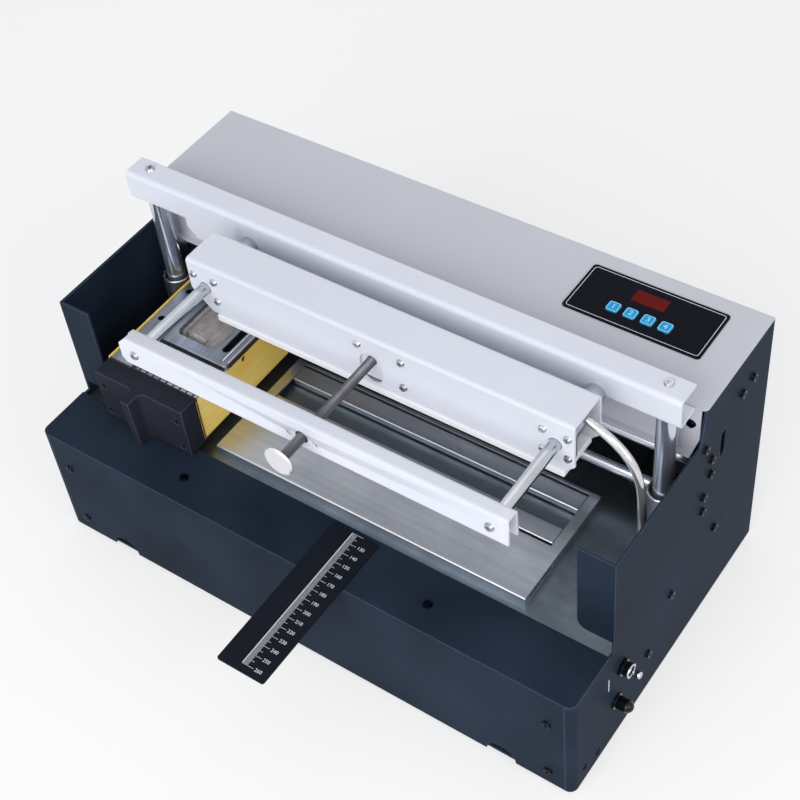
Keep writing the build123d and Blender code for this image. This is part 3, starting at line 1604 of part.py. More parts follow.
casting_middle = (casting_left + pot_right) / 2
rib_back = casting_front + pocket_deep
with BuildPart() as pot_casting:
    block((casting_left, pot_right), (casting_front, pot_front), (casting_foot, casting_top))
    chamfer(pot_casting.edges().filter_by(Axis.Y), casting_chamfer)
    for left, right in (
        (casting_left + pocket_border, casting_middle - rib_wide / 2),
        (casting_middle + rib_wide / 2, pot_right - pocket_border),
    ):
        with BuildSketch(front(rib_back)):
            with Locations((left, casting_foot + pocket_border)):
                Rectangle(
                    right - left,
                    casting_top - casting_foot - pocket_border - pocket_top_border,
                    align=(Align.MIN, Align.MIN),
                )
        extrude(amount=pocket_deep, mode=Mode.SUBTRACT)
    with BuildSketch(side(casting_middle - rib_wide / 2)):
        with BuildLine():
            Polyline(
                (rib_back, casting_foot),
                (casting_front - rib_reach, casting_foot),
                (casting_front - rib_reach + rib_draft, casting_top - pocket_top_border - rib_slope),
                (casting_front, casting_top - pocket_top_border),
                (rib_back, casting_top - pocket_top_border),
                close=True,
            )
        make_face()
    extrude(amount=rib_wide)
    with BuildSketch(front(pot_front)):
        with Locations(*casting_holes):
            Circle(casting_hole)
    extrude(amount=pot_front - casting_front, mode=Mode.SUBTRACT)
save(pot_casting, "pot_casting")

bearing_xs = (
    pot_left + carrier_inset,
    pot_right - carrier_inset - bearing_length,
)
with BuildPart() as carriage_slide:
    with BuildSketch(front(pot_back + carrier_thick)) as outline:
        with Locations((pot_left + carrier_inset, carrier_foot)):
            Rectangle(
                pot_right - pot_left - 2 * carrier_inset,
                carrier_top - carrier_foot,
                align=(Align.MIN, Align.MIN),
            )
        fillet(outline.vertices(), support_corner)
    extrude(amount=carrier_thick)
    for y, z in rail_places:
        for x in bearing_xs:
            block(
                (x, x + bearing_length),
                (pot_back + carrier_thick, y + bearing_back),
                (z - bearing_half, z + bearing_half),
            )
            rod(side(x), y, z, rail_radius + fit_gap, bearing_length, Mode.SUBTRACT)
    block(
        (bearing_xs[0], bearing_xs[0] + nut_block),
        (pot_back + carrier_thick, screw_y),
        (screw_z - nut_block / 4, screw_z + nut_block / 4),
    )
    rod(side(bearing_xs[0]), screw_y, screw_z, nut_block / 2, nut_block)
    rod(side(bearing_xs[0]), screw_y, screw_z, screw_radius + screw_gap, nut_block, Mode.SUBTRACT)
save(carriage_slide, "carriage_slide")

with BuildPart() as carriage_fasteners:
    screws(
        flat(heater_top - socket_seat + seam),
        [(heater_screw_x, y) for y in heater_screws_y],
        socket_seat - seam,
        socket_seat - seam,
        bolt_hole - seam,
        seam,
        True,
    )
    for x, z in casting_holes:
        rod(front(pot_front), x, z, casting_hole - seam, pot_front - rib_back - wall)
save(carriage_fasteners, "carriage_fasteners")
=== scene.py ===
# %% [markdown]
# # A desktop perfect binding machine
# A clamp hangs over a steel table, a pot of hot glue slides under it on two rods, and two bars
# in the table close from both sides. The machine's solids come from the CAD model. This lesson
# gives them real finishes and makes anew what a solid model leaves plain: screw threads, the
# turned knob, the glue in the pot, the cast bracket and the printed scale and panel.

import math

import bmesh
import bpy
from mathutils import Matrix, Vector, noise


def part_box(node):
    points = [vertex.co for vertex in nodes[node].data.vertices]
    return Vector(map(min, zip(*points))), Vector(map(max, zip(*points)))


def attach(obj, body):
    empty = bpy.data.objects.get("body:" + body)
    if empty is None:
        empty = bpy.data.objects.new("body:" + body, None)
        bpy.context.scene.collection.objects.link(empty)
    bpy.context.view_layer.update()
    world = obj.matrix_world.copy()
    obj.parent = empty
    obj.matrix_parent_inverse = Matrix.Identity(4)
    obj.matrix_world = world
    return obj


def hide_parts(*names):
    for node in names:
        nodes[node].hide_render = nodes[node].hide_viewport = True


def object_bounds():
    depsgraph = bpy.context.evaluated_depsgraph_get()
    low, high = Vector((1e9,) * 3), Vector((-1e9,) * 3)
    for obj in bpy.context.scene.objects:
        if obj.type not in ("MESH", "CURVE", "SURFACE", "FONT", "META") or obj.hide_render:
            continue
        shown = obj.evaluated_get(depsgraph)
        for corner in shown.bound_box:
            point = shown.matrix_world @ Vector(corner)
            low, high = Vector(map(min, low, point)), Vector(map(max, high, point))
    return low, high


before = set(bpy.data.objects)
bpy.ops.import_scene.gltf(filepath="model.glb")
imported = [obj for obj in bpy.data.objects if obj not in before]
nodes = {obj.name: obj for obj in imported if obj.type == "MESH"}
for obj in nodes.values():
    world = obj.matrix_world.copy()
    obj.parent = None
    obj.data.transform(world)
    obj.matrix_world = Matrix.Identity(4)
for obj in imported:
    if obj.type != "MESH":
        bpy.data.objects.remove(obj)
cad_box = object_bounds()
MM = 0.001
print("nodes", len(nodes), "box", [round(v, 3) for v in (*cad_box[0], *cad_box[1])])

# %% [markdown]
# ## Camera
# The view is from high over the machine's right front corner, with the camera a little
# tilted. The place, the direction and the focal length were solved from the housing's
# straight edges, so the render can be laid over the photograph.

# %% Camera
azimuth = math.radians(39.90)
elevation = math.radians(47.33)
tilt = math.radians(-7.12)
photo_pixels = 800
focal_pixels = 1603
ahead = Vector((
    -math.sin(azimuth) * math.cos(elevation),
    math.cos(azimuth) * math.cos(elevation),
    -math.sin(elevation),
))
level_right = ahead.cross(Vector((0, 0, 1))).normalized()
level_up = level_right.cross(ahead)
right = level_right * math.cos(tilt) + level_up * math.sin(tilt)
up = level_up * math.cos(tilt) - level_right * math.sin(tilt)
camera_data = bpy.data.cameras.new("photo_camera")
camera_data.sensor_width = 36
camera_data.lens = focal_pixels / photo_pixels * camera_data.sensor_width
camera_data.clip_end = 20
camera = bpy.data.objects.new("photo_camera", camera_data)
camera.matrix_world = Matrix((right, up, -ahead)).transposed().to_4x4()
camera.location = (0.56355, -0.6171, 1.1170)
bpy.context.collection.objects.link(camera)
bpy.context.scene.camera = camera
bpy.context.scene.view_settings.view_transform = "Standard"
print("lens", round(camera_data.lens, 1), "mm")

# %% [markdown]
# ## Helpers for materials
# A material is a small graph. One function adds a node, sets its properties, and fills each
# named input with a value or links it to another node's socket. Four short ones build on it
# for what every finish here needs: a noise of a real size, a change of range, a mix of two
# colours, and a bump. Colours are written as they look on a screen, in hex, and one function
# turns them to the linear light that a renderer works in.


# %% Node and colour helpers
def linear(code):
    """Linear RGBA of an sRGB hex colour."""
    parts = [int(code[start:start + 2], 16) / 255 for start in (1, 3, 5)]
    light = [c / 12.92 if c <= 0.04045 else ((c + 0.055) / 1.055) ** 2.4 for c in parts]
    return (*light, 1.0)


def add(tree, kind, inputs=None, **settings):
    """Adds one node. A value fills an input, and a socket is linked to it."""
    made = tree.nodes.new(kind)
    for name, value in settings.items():
        setattr(made, name, value)
    for name, value in (inputs or {}).items():
        if isinstance(value, bpy.types.NodeSocket):
            tree.links.new(value, made.inputs[name])
        else:
            made.inputs[name].default_value = value
    return made


def speckle(tree, vector, size, detail, **inputs):
    """A noise whose features are about this many millimetres across."""
    inputs = {"Vector": vector, "Scale": 1 / (size * MM), "Detail": detail, **inputs}
    return add(tree, "ShaderNodeTexNoise", inputs).outputs["Fac"]


def spread(tree, value, low, high, start, end):
    """Takes a value from the range low to high to the range start to end."""
    inputs = {"Value": value, "From Min": low, "From Max": high, "To Min": start, "To Max": end}
    return add(tree, "ShaderNodeMapRange", inputs).outputs["Result"]


def tinted(tree, share, first, second):
    """Mixes two hex colours: share 0 is the first, share 1 the second."""
    inputs = {0: share, 6: linear(first), 7: linear(second)}
    return add(tree, "ShaderNodeMix", inputs, data_type="RGBA").outputs[2]


def both_of(tree, share, first, second):
    """Mixes two grey values."""
    return add(tree, "ShaderNodeMix", {0: share, 2: first, 3: second}, data_type="FLOAT").outputs[0]


def bumped(tree, height, strength, depth, **inputs):
    """A normal that a height pushes about, at most this many millimetres."""
    inputs = {"Height": height, "Strength": strength, "Distance": depth * MM, **inputs}
    return add(tree, "ShaderNodeBump", inputs).outputs["Normal"]


def softened(tree, radius):
    """The normal of edges rounded by this many millimetres."""
    return add(tree, "ShaderNodeBevel", {"Radius": radius * MM}, samples=4).outputs["Normal"]


def blank(name):
    """A new material, its node tree and the object's own coordinates."""
    made = bpy.data.materials.new(name)
    made.use_nodes = True
    tree = made.node_tree
    tree.nodes.clear()
    return made, tree, add(tree, "ShaderNodeTexCoord").outputs["Object"]


def closed(made, inputs):
    """Ends a material with a principled shader that has these inputs."""
    shader = add(made.node_tree, "ShaderNodeBsdfPrincipled", inputs)
    add(made.node_tree, "ShaderNodeOutputMaterial", {"Surface": shader.outputs["BSDF"]})
    return made


def wear(*names, finish):
    """Puts a finish on CAD nodes, in their own material slots."""
    for name in names:
        for place in nodes[name].material_slots:
            place.material = finish
    print(finish.name, "on", ", ".join(names))


# %% [markdown]
# ## Powder coat
# The covers are sheet steel, sprayed with dry powder and baked. The powder melts into a skin
# with a slight orange peel, about 2 mm from hump to hump. The peel is a fine noise used as
# bump. The Bevel node rounds the edges in the shading, and the difference between the
# rounded and the true normal marks where an edge is. There the colour turns paler: a painted
# highlight along every edge, standing in for the light that a rounded edge catches. A broad
# noise keeps big panels from looking like one flat colour.


# %% Powder coat and enamel
def powder_coat(name, colour, pale, roughness, peel=0.10, specular=0.5, edge_width=0.9, edge_highlight_share=0.55):
    """Baked powder over sheet: colour, the paler tone of the painted edge highlight, gloss, peel, and the
    edge's width in mm.
    """
    cloud_size, peel_size, peel_depth = 110, 2, 0.3
    noise_low, noise_high, cloud_tone, gloss_change = 0.3, 0.7, 0.16, 0.05
    edge_begins, edge_full = 0.995, 0.86
    made, tree, place = blank(name)
    cloud = speckle(tree, place, cloud_size, 3.0)
    grain = speckle(tree, place, peel_size, 2.0)
    rounded = softened(tree, edge_width)
    flat = add(tree, "ShaderNodeNewGeometry").outputs["Normal"]
    facing = add(tree, "ShaderNodeVectorMath", {0: rounded, 1: flat}, operation="DOT_PRODUCT")
    # Painted highlight: the colour turns paler along edges, where the rounded normal leaves the true one.
    painted_edge_highlight = spread(tree, facing.outputs["Value"], edge_begins, edge_full, 0.0, edge_highlight_share)
    tone = spread(tree, cloud, noise_low, noise_high, 0.0, cloud_tone)
    share = add(tree, "ShaderNodeMath", {0: painted_edge_highlight, 1: tone}, operation="ADD", use_clamp=True)
    gloss = spread(tree, cloud, noise_low, noise_high, roughness - gloss_change, roughness + gloss_change)
    return closed(made, {
        "Base Color": tinted(tree, share.outputs["Value"], colour, pale), "Roughness": gloss,
        "Specular IOR Level": specular, "Normal": bumped(tree, grain, peel, peel_depth, Normal=rounded),
    })


# The second colour of each coat is the paler tone of its painted edge highlight and of the broad noise.
black_coat = powder_coat("black_powder_coat", "#18222e", "#56627a", 0.50, 0.10, 0.02, 1.3, 0.75)
deck_enamel = powder_coat("grey_enamel", "#bfc1c9", "#d4d6dd", 0.42, 0.06, 0.30)
clamp_enamel = powder_coat("pale_enamel", "#d2d5e0", "#e6e8ef", 0.42, 0.06, 0.30)
white_enamel = powder_coat("white_enamel", "#f0f1f4", "#f8f8fa", 0.36, 0.04, 0.30)
motor_enamel = powder_coat("motor_enamel", "#151619", "#45484e", 0.42, specular=0.12)
dark_casting = powder_coat("painted_casting", "#1c1f28", "#5a5e6c", 0.60, 0.60, 0.03, 1.2, 0.8)
wear("left_side_wall", "right_side_wall", "front_cover", "back_panel", "base_plate", finish=black_coat)
wear("top_deck", finish=deck_enamel)
wear("rear_beam", "jaw_channel", "spindle_bearing", finish=clamp_enamel)
wear("jaw_bar", finish=white_enamel)
wear("carriage_motor", "lift_motor", "roller_motor", "transformer", finish=motor_enamel)

# %% [markdown]
# ## Bare metal
# Rods are ground and polished, the table and the bushes are milled, the tray is zinc plated
# sheet. The colour of a metal is that of its reflection. What tells them apart is the
# direction of the fine scratches: a noise that is stretched along the way the tool went
# changes the roughness, and lifts the surface a little. A real scratch is far too fine to
# show, so these are drawn a few millimetres apart. Metallic is 1, but the posts and the tube
# mirror the white room too strongly and get a little less, and the yellow passivated sheet,
# whose chromate film hides the metal, gets almost none.


# %% Metals
def bare_metal(name, colour, dull, low, high, along=(1, 1, 1), scratch=0.08, grain=4, edge=0.4, metallic=1.0):
    """A metal with scratches stretched along an axis (small factors), between two roughnesses."""
    cloud_size, scratch_share, scratch_depth = 45, 0.45, 0.2
    noise_low, noise_high = 0.35, 0.65
    made, tree, place = blank(name)
    stretched = add(tree, "ShaderNodeMapping", {"Vector": place, "Scale": along}).outputs["Vector"]
    cloud = speckle(tree, place, cloud_size, 4.0)
    lines = speckle(tree, stretched, grain, 4.0, Roughness=0.6)
    both = both_of(tree, scratch_share, cloud, lines)
    tint = spread(tree, both, noise_low, noise_high, 0.0, 1.0)
    gloss = spread(tree, both, noise_low, noise_high, low, high)
    normal = bumped(tree, lines, scratch, scratch_depth, Normal=softened(tree, edge))
    return closed(made, {
        "Base Color": tinted(tree, tint, colour, dull), "Metallic": metallic, "Roughness": gloss,
        "Normal": normal,
    })


EVERY_WAY, ALONG_X, ALONG_Y, ALONG_Z = (1, 1, 1), (0.04, 1, 1), (1, 0.04, 1), (1, 1, 0.04)
zinc_plate = bare_metal("zinc_plated_sheet", "#87919b", "#6a747e", 0.32, 0.46, (0.6, 1, 1), 0.02, 12)
post_steel = bare_metal("ground_steel_posts", "#dfe5ee", "#a7b2c4", 0.12, 0.20, ALONG_Z, 0.02, metallic=0.85)
rod_steel = bare_metal("ground_steel_rods", "#cdd0d5", "#b0b4bb", 0.08, 0.18, ALONG_Y, 0.02)
rail_steel = bare_metal("ground_steel_rails", "#c4c8ce", "#a4a8b0", 0.08, 0.18, ALONG_X, 0.02)
milled_steel = bare_metal("milled_steel", "#d4d8df", "#b9bfc8", 0.26, 0.42, ALONG_X, 0.06)
tube_steel = bare_metal("polished_tube", "#dddcde", "#b4b3b5", 0.12, 0.22, EVERY_WAY, 0.02, metallic=0.85)
screw_zinc = bare_metal("bright_zinc", "#d8dadf", "#5d6068", 0.14, 0.30, EVERY_WAY, 0.10, 1.6, 0.3)
black_oxide = bare_metal("black_oxide_steel", "#171c26", "#0a0d13", 0.20, 0.34, EVERY_WAY, 0.05, 1.5, 0.2)
thread_steel = bare_metal("phosphated_screw", "#85848b", "#55545a", 0.24, 0.40, ALONG_Y, 0.04)
turned_steel = bare_metal("bright_turned_steel", "#f2f2f6", "#dedfe5", 0.22, 0.36, EVERY_WAY, 0.03)
bush_bronze = bare_metal("turned_bronze", "#b08a55", "#7f6138", 0.28, 0.45, EVERY_WAY, 0.05)
pot_aluminium = bare_metal("milled_aluminium", "#a3abb8", "#6f7682", 0.24, 0.46, ALONG_Y, 0.07, 5)
chrome = bare_metal("chrome_plate", "#e6e7ea", "#a9abb0", 0.08, 0.16, EVERY_WAY, 0.03, 1.5, 0.2)
sleeve_tube = bare_metal("satin_tube", "#b6b8be", "#8e9097", 0.34, 0.50, ALONG_Z, 0.04)
yellow_zinc = bare_metal(
    "yellow_passivated_sheet", "#ffe285", "#f7cb58", 0.40, 0.56, ALONG_Y, 0.04, metallic=0.1
)
wear("inner_tray", finish=zinc_plate)
wear("lift_posts", finish=post_steel)
wear("guide_rods", finish=rod_steel)
wear("carriage_rails", finish=rail_steel)
wear("nip_table", "jaw_bushes", "front_nip_bar", "rear_nip_bar", "lift_yoke", "carriage_slide",
     "screw_and_rail_supports", finish=milled_steel)
wear("clamp_screws", "jaw_screws", finish=screw_zinc)
wear("side_bolts", "cover_screws", "spindle_nut", finish=black_oxide)
wear("lift_bushes", finish=bush_bronze)
wear("glue_tank", "pot_top_frame", "heater_block", finish=pot_aluminium)
wear("lift_sleeves", finish=sleeve_tube)
wear("pot_shell", finish=yellow_zinc)

# %% [markdown]
# ## Plastics, film and rubber
# The control panel is a printed polycarbonate film: black and satin, with a fine even texture
# that kills glare. The display window in it is clear red, with the dark display behind. The
# buttons are light blue keycaps. The inlet, the switch's body and the fuse holder are moulded
# in glossy black nylon, the feet in rubber. The ruled arm is black anodised aluminium, whose
# dyed skin is as dull and dark as a plastic. All have an IOR near 1.5, so they differ in
# colour, in roughness and in the grain of the mould.


# %% Plastics
def plastic(name, colour, shade, roughness, grain, bump, shine=0.5, metallic=0.0):
    """A moulded or printed plastic: two close tones, gloss, and a mould grain in millimetres."""
    cloud_size, noise_low, noise_high, gloss_change = 30, 0.3, 0.7, 0.04
    edge_radius, mould_depth = 0.3, 0.1
    made, tree, place = blank(name)
    cloud = speckle(tree, place, cloud_size, 3.0)
    mould = speckle(tree, place, grain, 2.0)
    gloss = spread(tree, cloud, noise_low, noise_high, roughness - gloss_change, roughness + gloss_change)
    normal = bumped(tree, mould, bump, mould_depth, Normal=softened(tree, edge_radius))
    return closed(made, {
        "Base Color": tinted(tree, cloud, colour, shade), "Metallic": metallic, "IOR": 1.5,
        "Specular IOR Level": shine, "Roughness": gloss, "Normal": normal,
    })


panel_film = plastic("printed_film", "#0d1017", "#11141c", 0.40, 0.8, 0.15, 0.04)
red_window = plastic("red_window", "#6c0d0b", "#520809", 0.16, 3, 0.02, 0.08)
blue_key = plastic("light_blue_keycap", "#1f97d2", "#2ba3dc", 0.42, 0.6, 0.10, 0.08)
black_nylon = plastic("black_nylon", "#07080b", "#0c0e12", 0.12, 1, 0.04, 0.26)
foot_rubber = plastic("black_rubber", "#1b1b1b", "#272726", 0.72, 1.5, 0.50, 0.3)
black_anodised = plastic("black_anodised_aluminium", "#12161e", "#1a1e27", 0.40, 1, 0.10, 0.04, metallic=0.1)
white_ink = plastic("white_ink", "#dfe2e8", "#d2d6dd", 0.5, 0.8, 0.10, 0.2)
pale_blue = plastic("pale_blue_print", "#8fcde8", "#a3d7ee", 0.40, 0.6, 0.10, 0.15)
wear("control_overlay", finish=panel_film)
wear("display_window", finish=red_window)
wear("button_1", "button_2", "button_3", "button_4", finish=blue_key)
wear("fuse_holder", "power_inlet", "toggle_switch", finish=black_nylon)
wear("rubber_feet", finish=foot_rubber)
wear("ruler_plate", finish=black_anodised)

# %% [markdown]
# ## Circuit boards
# A board is glass cloth under green lacquer, with copper tracks that show as a lighter green.
# Straight tracks a few millimetres apart are a brick pattern whose mortar is the gap between
# them. It is only seen from below or with the deck off, so one pattern does for both boards.

# %% Boards
board_lacquer, tree, place = blank("green_solder_lacquer")
track_pattern = 40
tracks = add(
    tree, "ShaderNodeTexBrick",
    {
        "Vector": place, "Color1": linear("#1f6a3c"), "Color2": linear("#2b7d49"),
        "Mortar": linear("#124a29"), "Scale": 1 / (track_pattern * MM), "Mortar Size": 0.012,
        "Brick Width": 0.42, "Row Height": 0.09,
    },
)
closed(board_lacquer, {"Base Color": tracks.outputs["Color"], "Roughness": 0.28, "IOR": 1.5})
wear("control_board", "main_board", finish=board_lacquer)

# %% [markdown]
# ## Tools for new pieces
# Every new piece is a bmesh, drawn where it belongs while its object stays at the origin. One
# function turns it into an object with smooth faces, sharp edges, a finish, the body that it
# rides on and the CAD nodes that it stands for. One makes boxes, and one makes flat lettering
# from Blender's text.


# %% Tools for new pieces
SHARP_FROM = 35              # degrees between two faces
CAP_HEIGHT = 0.69            # of the font, as a share of its size


def finished(name, shape, finish, body, stands_for=()):
    """Makes a bmesh a piece at the origin: its finish, body, slot, and the nodes it replaces."""
    mesh = bpy.data.meshes.new(name)
    shape.to_mesh(mesh)
    shape.free()
    mesh.shade_smooth()
    mesh.set_sharp_from_angle(angle=math.radians(SHARP_FROM))
    piece = bpy.data.objects.new(name, mesh)
    bpy.context.collection.objects.link(piece)
    mesh.materials.append(finish)
    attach(piece, body)
    if stands_for:
        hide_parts(*stands_for)
    print(name, len(mesh.polygons), "faces")
    return piece


def slab(shape, low, high):
    """Adds a plain box between two corners to a bmesh."""
    middle, size = (low + high) / 2, high - low
    place = Matrix.Translation(middle) @ Matrix.Diagonal((*size, 1))
    return bmesh.ops.create_cube(shape, size=1, matrix=place)["verts"]


def flat_text(shape, words, height, middle):
    """Adds text to a bmesh, lying flat: the height of its capitals in millimetres, and its middle."""
    curve = bpy.data.curves.new("letters", "FONT")
    curve.body = words
    curve.size = height * MM / CAP_HEIGHT
    curve.align_x = "CENTER"
    curve.align_y = "CENTER"
    curve.resolution_u = 3
    holder = bpy.data.objects.new("letters", curve)
    bpy.context.collection.objects.link(holder)
    bpy.context.view_layer.update()
    mesh = bpy.data.meshes.new_from_object(holder.evaluated_get(bpy.context.evaluated_depsgraph_get()))
    mesh.transform(Matrix.Translation(middle))
    shape.from_mesh(mesh)
    bpy.data.objects.remove(holder)
    bpy.data.curves.remove(curve)
    bpy.data.meshes.remove(mesh)


print("tools for new pieces ready")

# %% [markdown]
# ## The scale on the ruled arm
# The black arm that reaches out in front carries a millimetre scale: one long white line with
# ticks on its right, longer every 5 mm and longest every 10 mm. It counts from the back of the
# table. On the real arm it is engraved and filled with white. A picture of it would blur close
# up, so each mark is a thin box of its own.

# %% Scale lines
ruler_low, ruler_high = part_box("ruler_plate")
ink = 0.04 * MM
mark_z = ruler_high.z
line_x = ruler_low.x + 19.5 * MM
first_mark, last_mark = 120, 260
end_margin, back_margin, half_tick = 6.8, 1, 0.16
zero_y = ruler_low.y + (last_mark + end_margin) * MM
scale = bmesh.new()
slab(
    scale, Vector((line_x - 0.5 * MM, zero_y - last_mark * MM, mark_z)),
    Vector((line_x + 0.4 * MM, ruler_high.y - back_margin * MM, mark_z + ink)),
)
for mark in range(first_mark, last_mark + 1):
    reach = 10.4 if mark % 10 == 0 else 7.6 if mark % 5 == 0 else 4.9
    mark_y = zero_y - mark * MM
    if mark_y > ruler_high.y - back_margin * MM:
        continue
    slab(
        scale, Vector((line_x, mark_y - half_tick * MM, mark_z)),
        Vector((line_x + reach * MM, mark_y + half_tick * MM, mark_z + ink)),
    )
finished("scale_lines", scale, white_ink, "housing")
print("scale from", first_mark, "to", last_mark, "mm")

# %% [markdown]
# ## Numbers on the scale
# A number stands beside each of the longest ticks, 3 mm high, so that it is read from the
# machine's front. Numbers need a real font, so each is Blender text made a mesh and laid flat.

# %% Scale numbers
number_high, number_gap, number_margin = 3.0, 14.9, 3
numbers = bmesh.new()
for mark in range(first_mark, last_mark + 1, 10):
    mark_y = zero_y - mark * MM
    if mark_y <= ruler_high.y - number_margin * MM:
        flat_text(numbers, str(mark), number_high, Vector((line_x + number_gap * MM, mark_y, mark_z + ink)))
finished("scale_numbers", numbers, white_ink, "housing")

# %% [markdown]
# ## Print on the control panel
# A thin pale line runs round the panel inside its edge. Each key has a paler rim and a plain
# numeral. The line is a flat ring: a rounded rectangle is made from a grid face whose corners
# are bevelled, then inset, and the inner face is taken out. The keys' rims are made the same
# way, so one function does both.


# %% Print on the panel
def ring(shape, low, high, corner, width, z):
    """Adds a flat ring to a bmesh, between two corners at height z: its radius and width in mm."""
    middle = Vector(((low.x + high.x) / 2, (low.y + high.y) / 2, z))
    size = Matrix.Diagonal(((high.x - low.x) / 2, (high.y - low.y) / 2, 1, 1))
    place = Matrix.Translation(middle) @ size
    corners = bmesh.ops.create_grid(shape, x_segments=1, y_segments=1, size=1, matrix=place)["verts"]
    rounded = bmesh.ops.bevel(
        shape, geom=corners, offset=corner * MM, segments=5, profile=0.5, affect="VERTICES", material=-1
    )
    face = rounded["verts"][0].link_faces[0]
    bmesh.ops.inset_region(shape, faces=[face], thickness=width * MM, use_even_offset=True, use_boundary=True)
    bmesh.ops.delete(shape, geom=[face], context="FACES_ONLY")


print_lift = 0.03 * MM
panel_low, panel_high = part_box("control_overlay")
panel_print = bmesh.new()
inset = Vector((2.2, 2.2, 0)) * MM
ring(panel_print, panel_low + inset, panel_high - inset, 2.4, 0.5, panel_high.z + print_lift)
finished("panel_lines", panel_print, white_ink, "housing")

edge = Vector((0.5, 0.5, 0)) * MM
numeral_high = 4.6
for count in range(1, 5):
    key_low, key_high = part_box(f"button_{count}")
    top = key_high.z + print_lift
    body = f"button_{'abcd'[count - 1]}"
    rim = bmesh.new()
    ring(rim, key_low + edge, key_high - edge, 1.2, 0.7, top)
    finished(f"key_rim_{count}", rim, pale_blue, body)
    numeral = bmesh.new()
    flat_text(numeral, str(count), numeral_high, Vector((*((key_low + key_high) / 2).xy, top)))
    finished(f"key_numeral_{count}", numeral, white_ink, body)
print("keys printed 1 to 4")

# %% [markdown]
# ## Turned pieces and the machine's own millimetres
# The CAD model was drawn from the machine's middle and its front edge, and stored a little
# shifted. One small function turns those drawing millimetres into stored metres. A second
# makes anything that comes off a lathe: it takes a profile, as a few points of how far along
# and how far out, and spins it round an axis. Three more join shapes, cut one from another,
# and bevel their edges.


# %% Places and turned shapes
STORED_SHIFT = Vector((6.95, 99.5, 0))


def at(x, y, z):
    """A place in the drawing's millimetres, as a stored place in metres."""
    return (Vector((x, y, z)) - STORED_SHIFT) * MM


TURN = {
    "X": Matrix.Rotation(math.radians(90), 4, "Y"),
    "Y": Matrix.Rotation(math.radians(-90), 4, "X"),
    "Z": Matrix.Identity(4),
}


def turned(profile, place, axis, steps=48, closed=False):
    """A bmesh spun round an axis through a place, from (along, radius) points in millimetres."""
    shape = bmesh.new()
    points = [shape.verts.new((radius * MM, 0, along * MM)) for along, radius in profile]
    pairs = list(zip(points, points[1:]))
    if closed:
        pairs.append((points[-1], points[0]))
    edges = [shape.edges.new(pair) for pair in pairs]
    bmesh.ops.spin(
        shape, geom=points + edges, cent=(0, 0, 0), axis=(0, 0, 1), dvec=(0, 0, 0),
        angle=math.tau, steps=steps, use_merge=True,
    )
    bmesh.ops.remove_doubles(shape, verts=shape.verts[:], dist=0.001 * MM)
    bmesh.ops.transform(shape, matrix=Matrix.Translation(place) @ TURN[axis], verts=shape.verts[:])
    bmesh.ops.recalc_face_normals(shape, faces=shape.faces[:])
    return shape


def joined(*shapes):
    """One bmesh from several."""
    whole = bmesh.new()
    for shape in shapes:
        mesh = bpy.data.meshes.new("joined")
        shape.to_mesh(mesh)
        shape.free()
        whole.from_mesh(mesh)
        bpy.data.meshes.remove(mesh)
    return whole


def cut(shape, cutter):
    """The first bmesh less the second, by Blender's exact boolean."""
    holders = []
    for name, source in (("kept", shape), ("cutter", cutter)):
        mesh = bpy.data.meshes.new(name)
        source.to_mesh(mesh)
        source.free()
        holder = bpy.data.objects.new(name, mesh)
        bpy.context.collection.objects.link(holder)
        holders.append(holder)
    step = holders[0].modifiers.new("cut", "BOOLEAN")
    step.operation, step.object, step.solver = "DIFFERENCE", holders[1], "EXACT"
    bpy.context.view_layer.update()
    ready = bpy.data.meshes.new_from_object(
        holders[0].evaluated_get(bpy.context.evaluated_depsgraph_get())
    )
    result = bmesh.new()
    result.from_mesh(ready)
    bpy.data.meshes.remove(ready)
    for holder in holders:
        mesh = holder.data
        bpy.data.objects.remove(holder)
        bpy.data.meshes.remove(mesh)
    return result


def soften(shape, width, segments=2, angle=40):
    """Bevels every edge of a bmesh that turns by more than an angle, by a width in millimetres."""
    edges = [
        e for e in shape.edges if len(e.link_faces) == 2 and e.calc_face_angle() > math.radians(angle)
    ]
    bmesh.ops.bevel(
        shape, geom=edges, offset=width * MM, segments=segments, profile=0.5, affect="EDGES",
        material=-1, clamp_overlap=True,
    )
    return shape


print("drawing origin is at", tuple(round(v, 5) for v in at(0, 0, 0)))

# %% [markdown]
# ## Screw threads
# The clamp spindle is an M8 screw, with a pitch of 1.25 mm and a 60 degree V. The screws that
# drive the carriage and the lift have a trapezoid thread, 2 mm a turn. A thread is a profile
# that turns and climbs at once, and bmesh's spin does just that when it is given a step along
# the axis. One turn is spun, copied along until it is long enough, merged, cut flat at both
# ends and closed. A bump would be quicker, but the outline would stay straight, and the
# outline is what shows a thread.


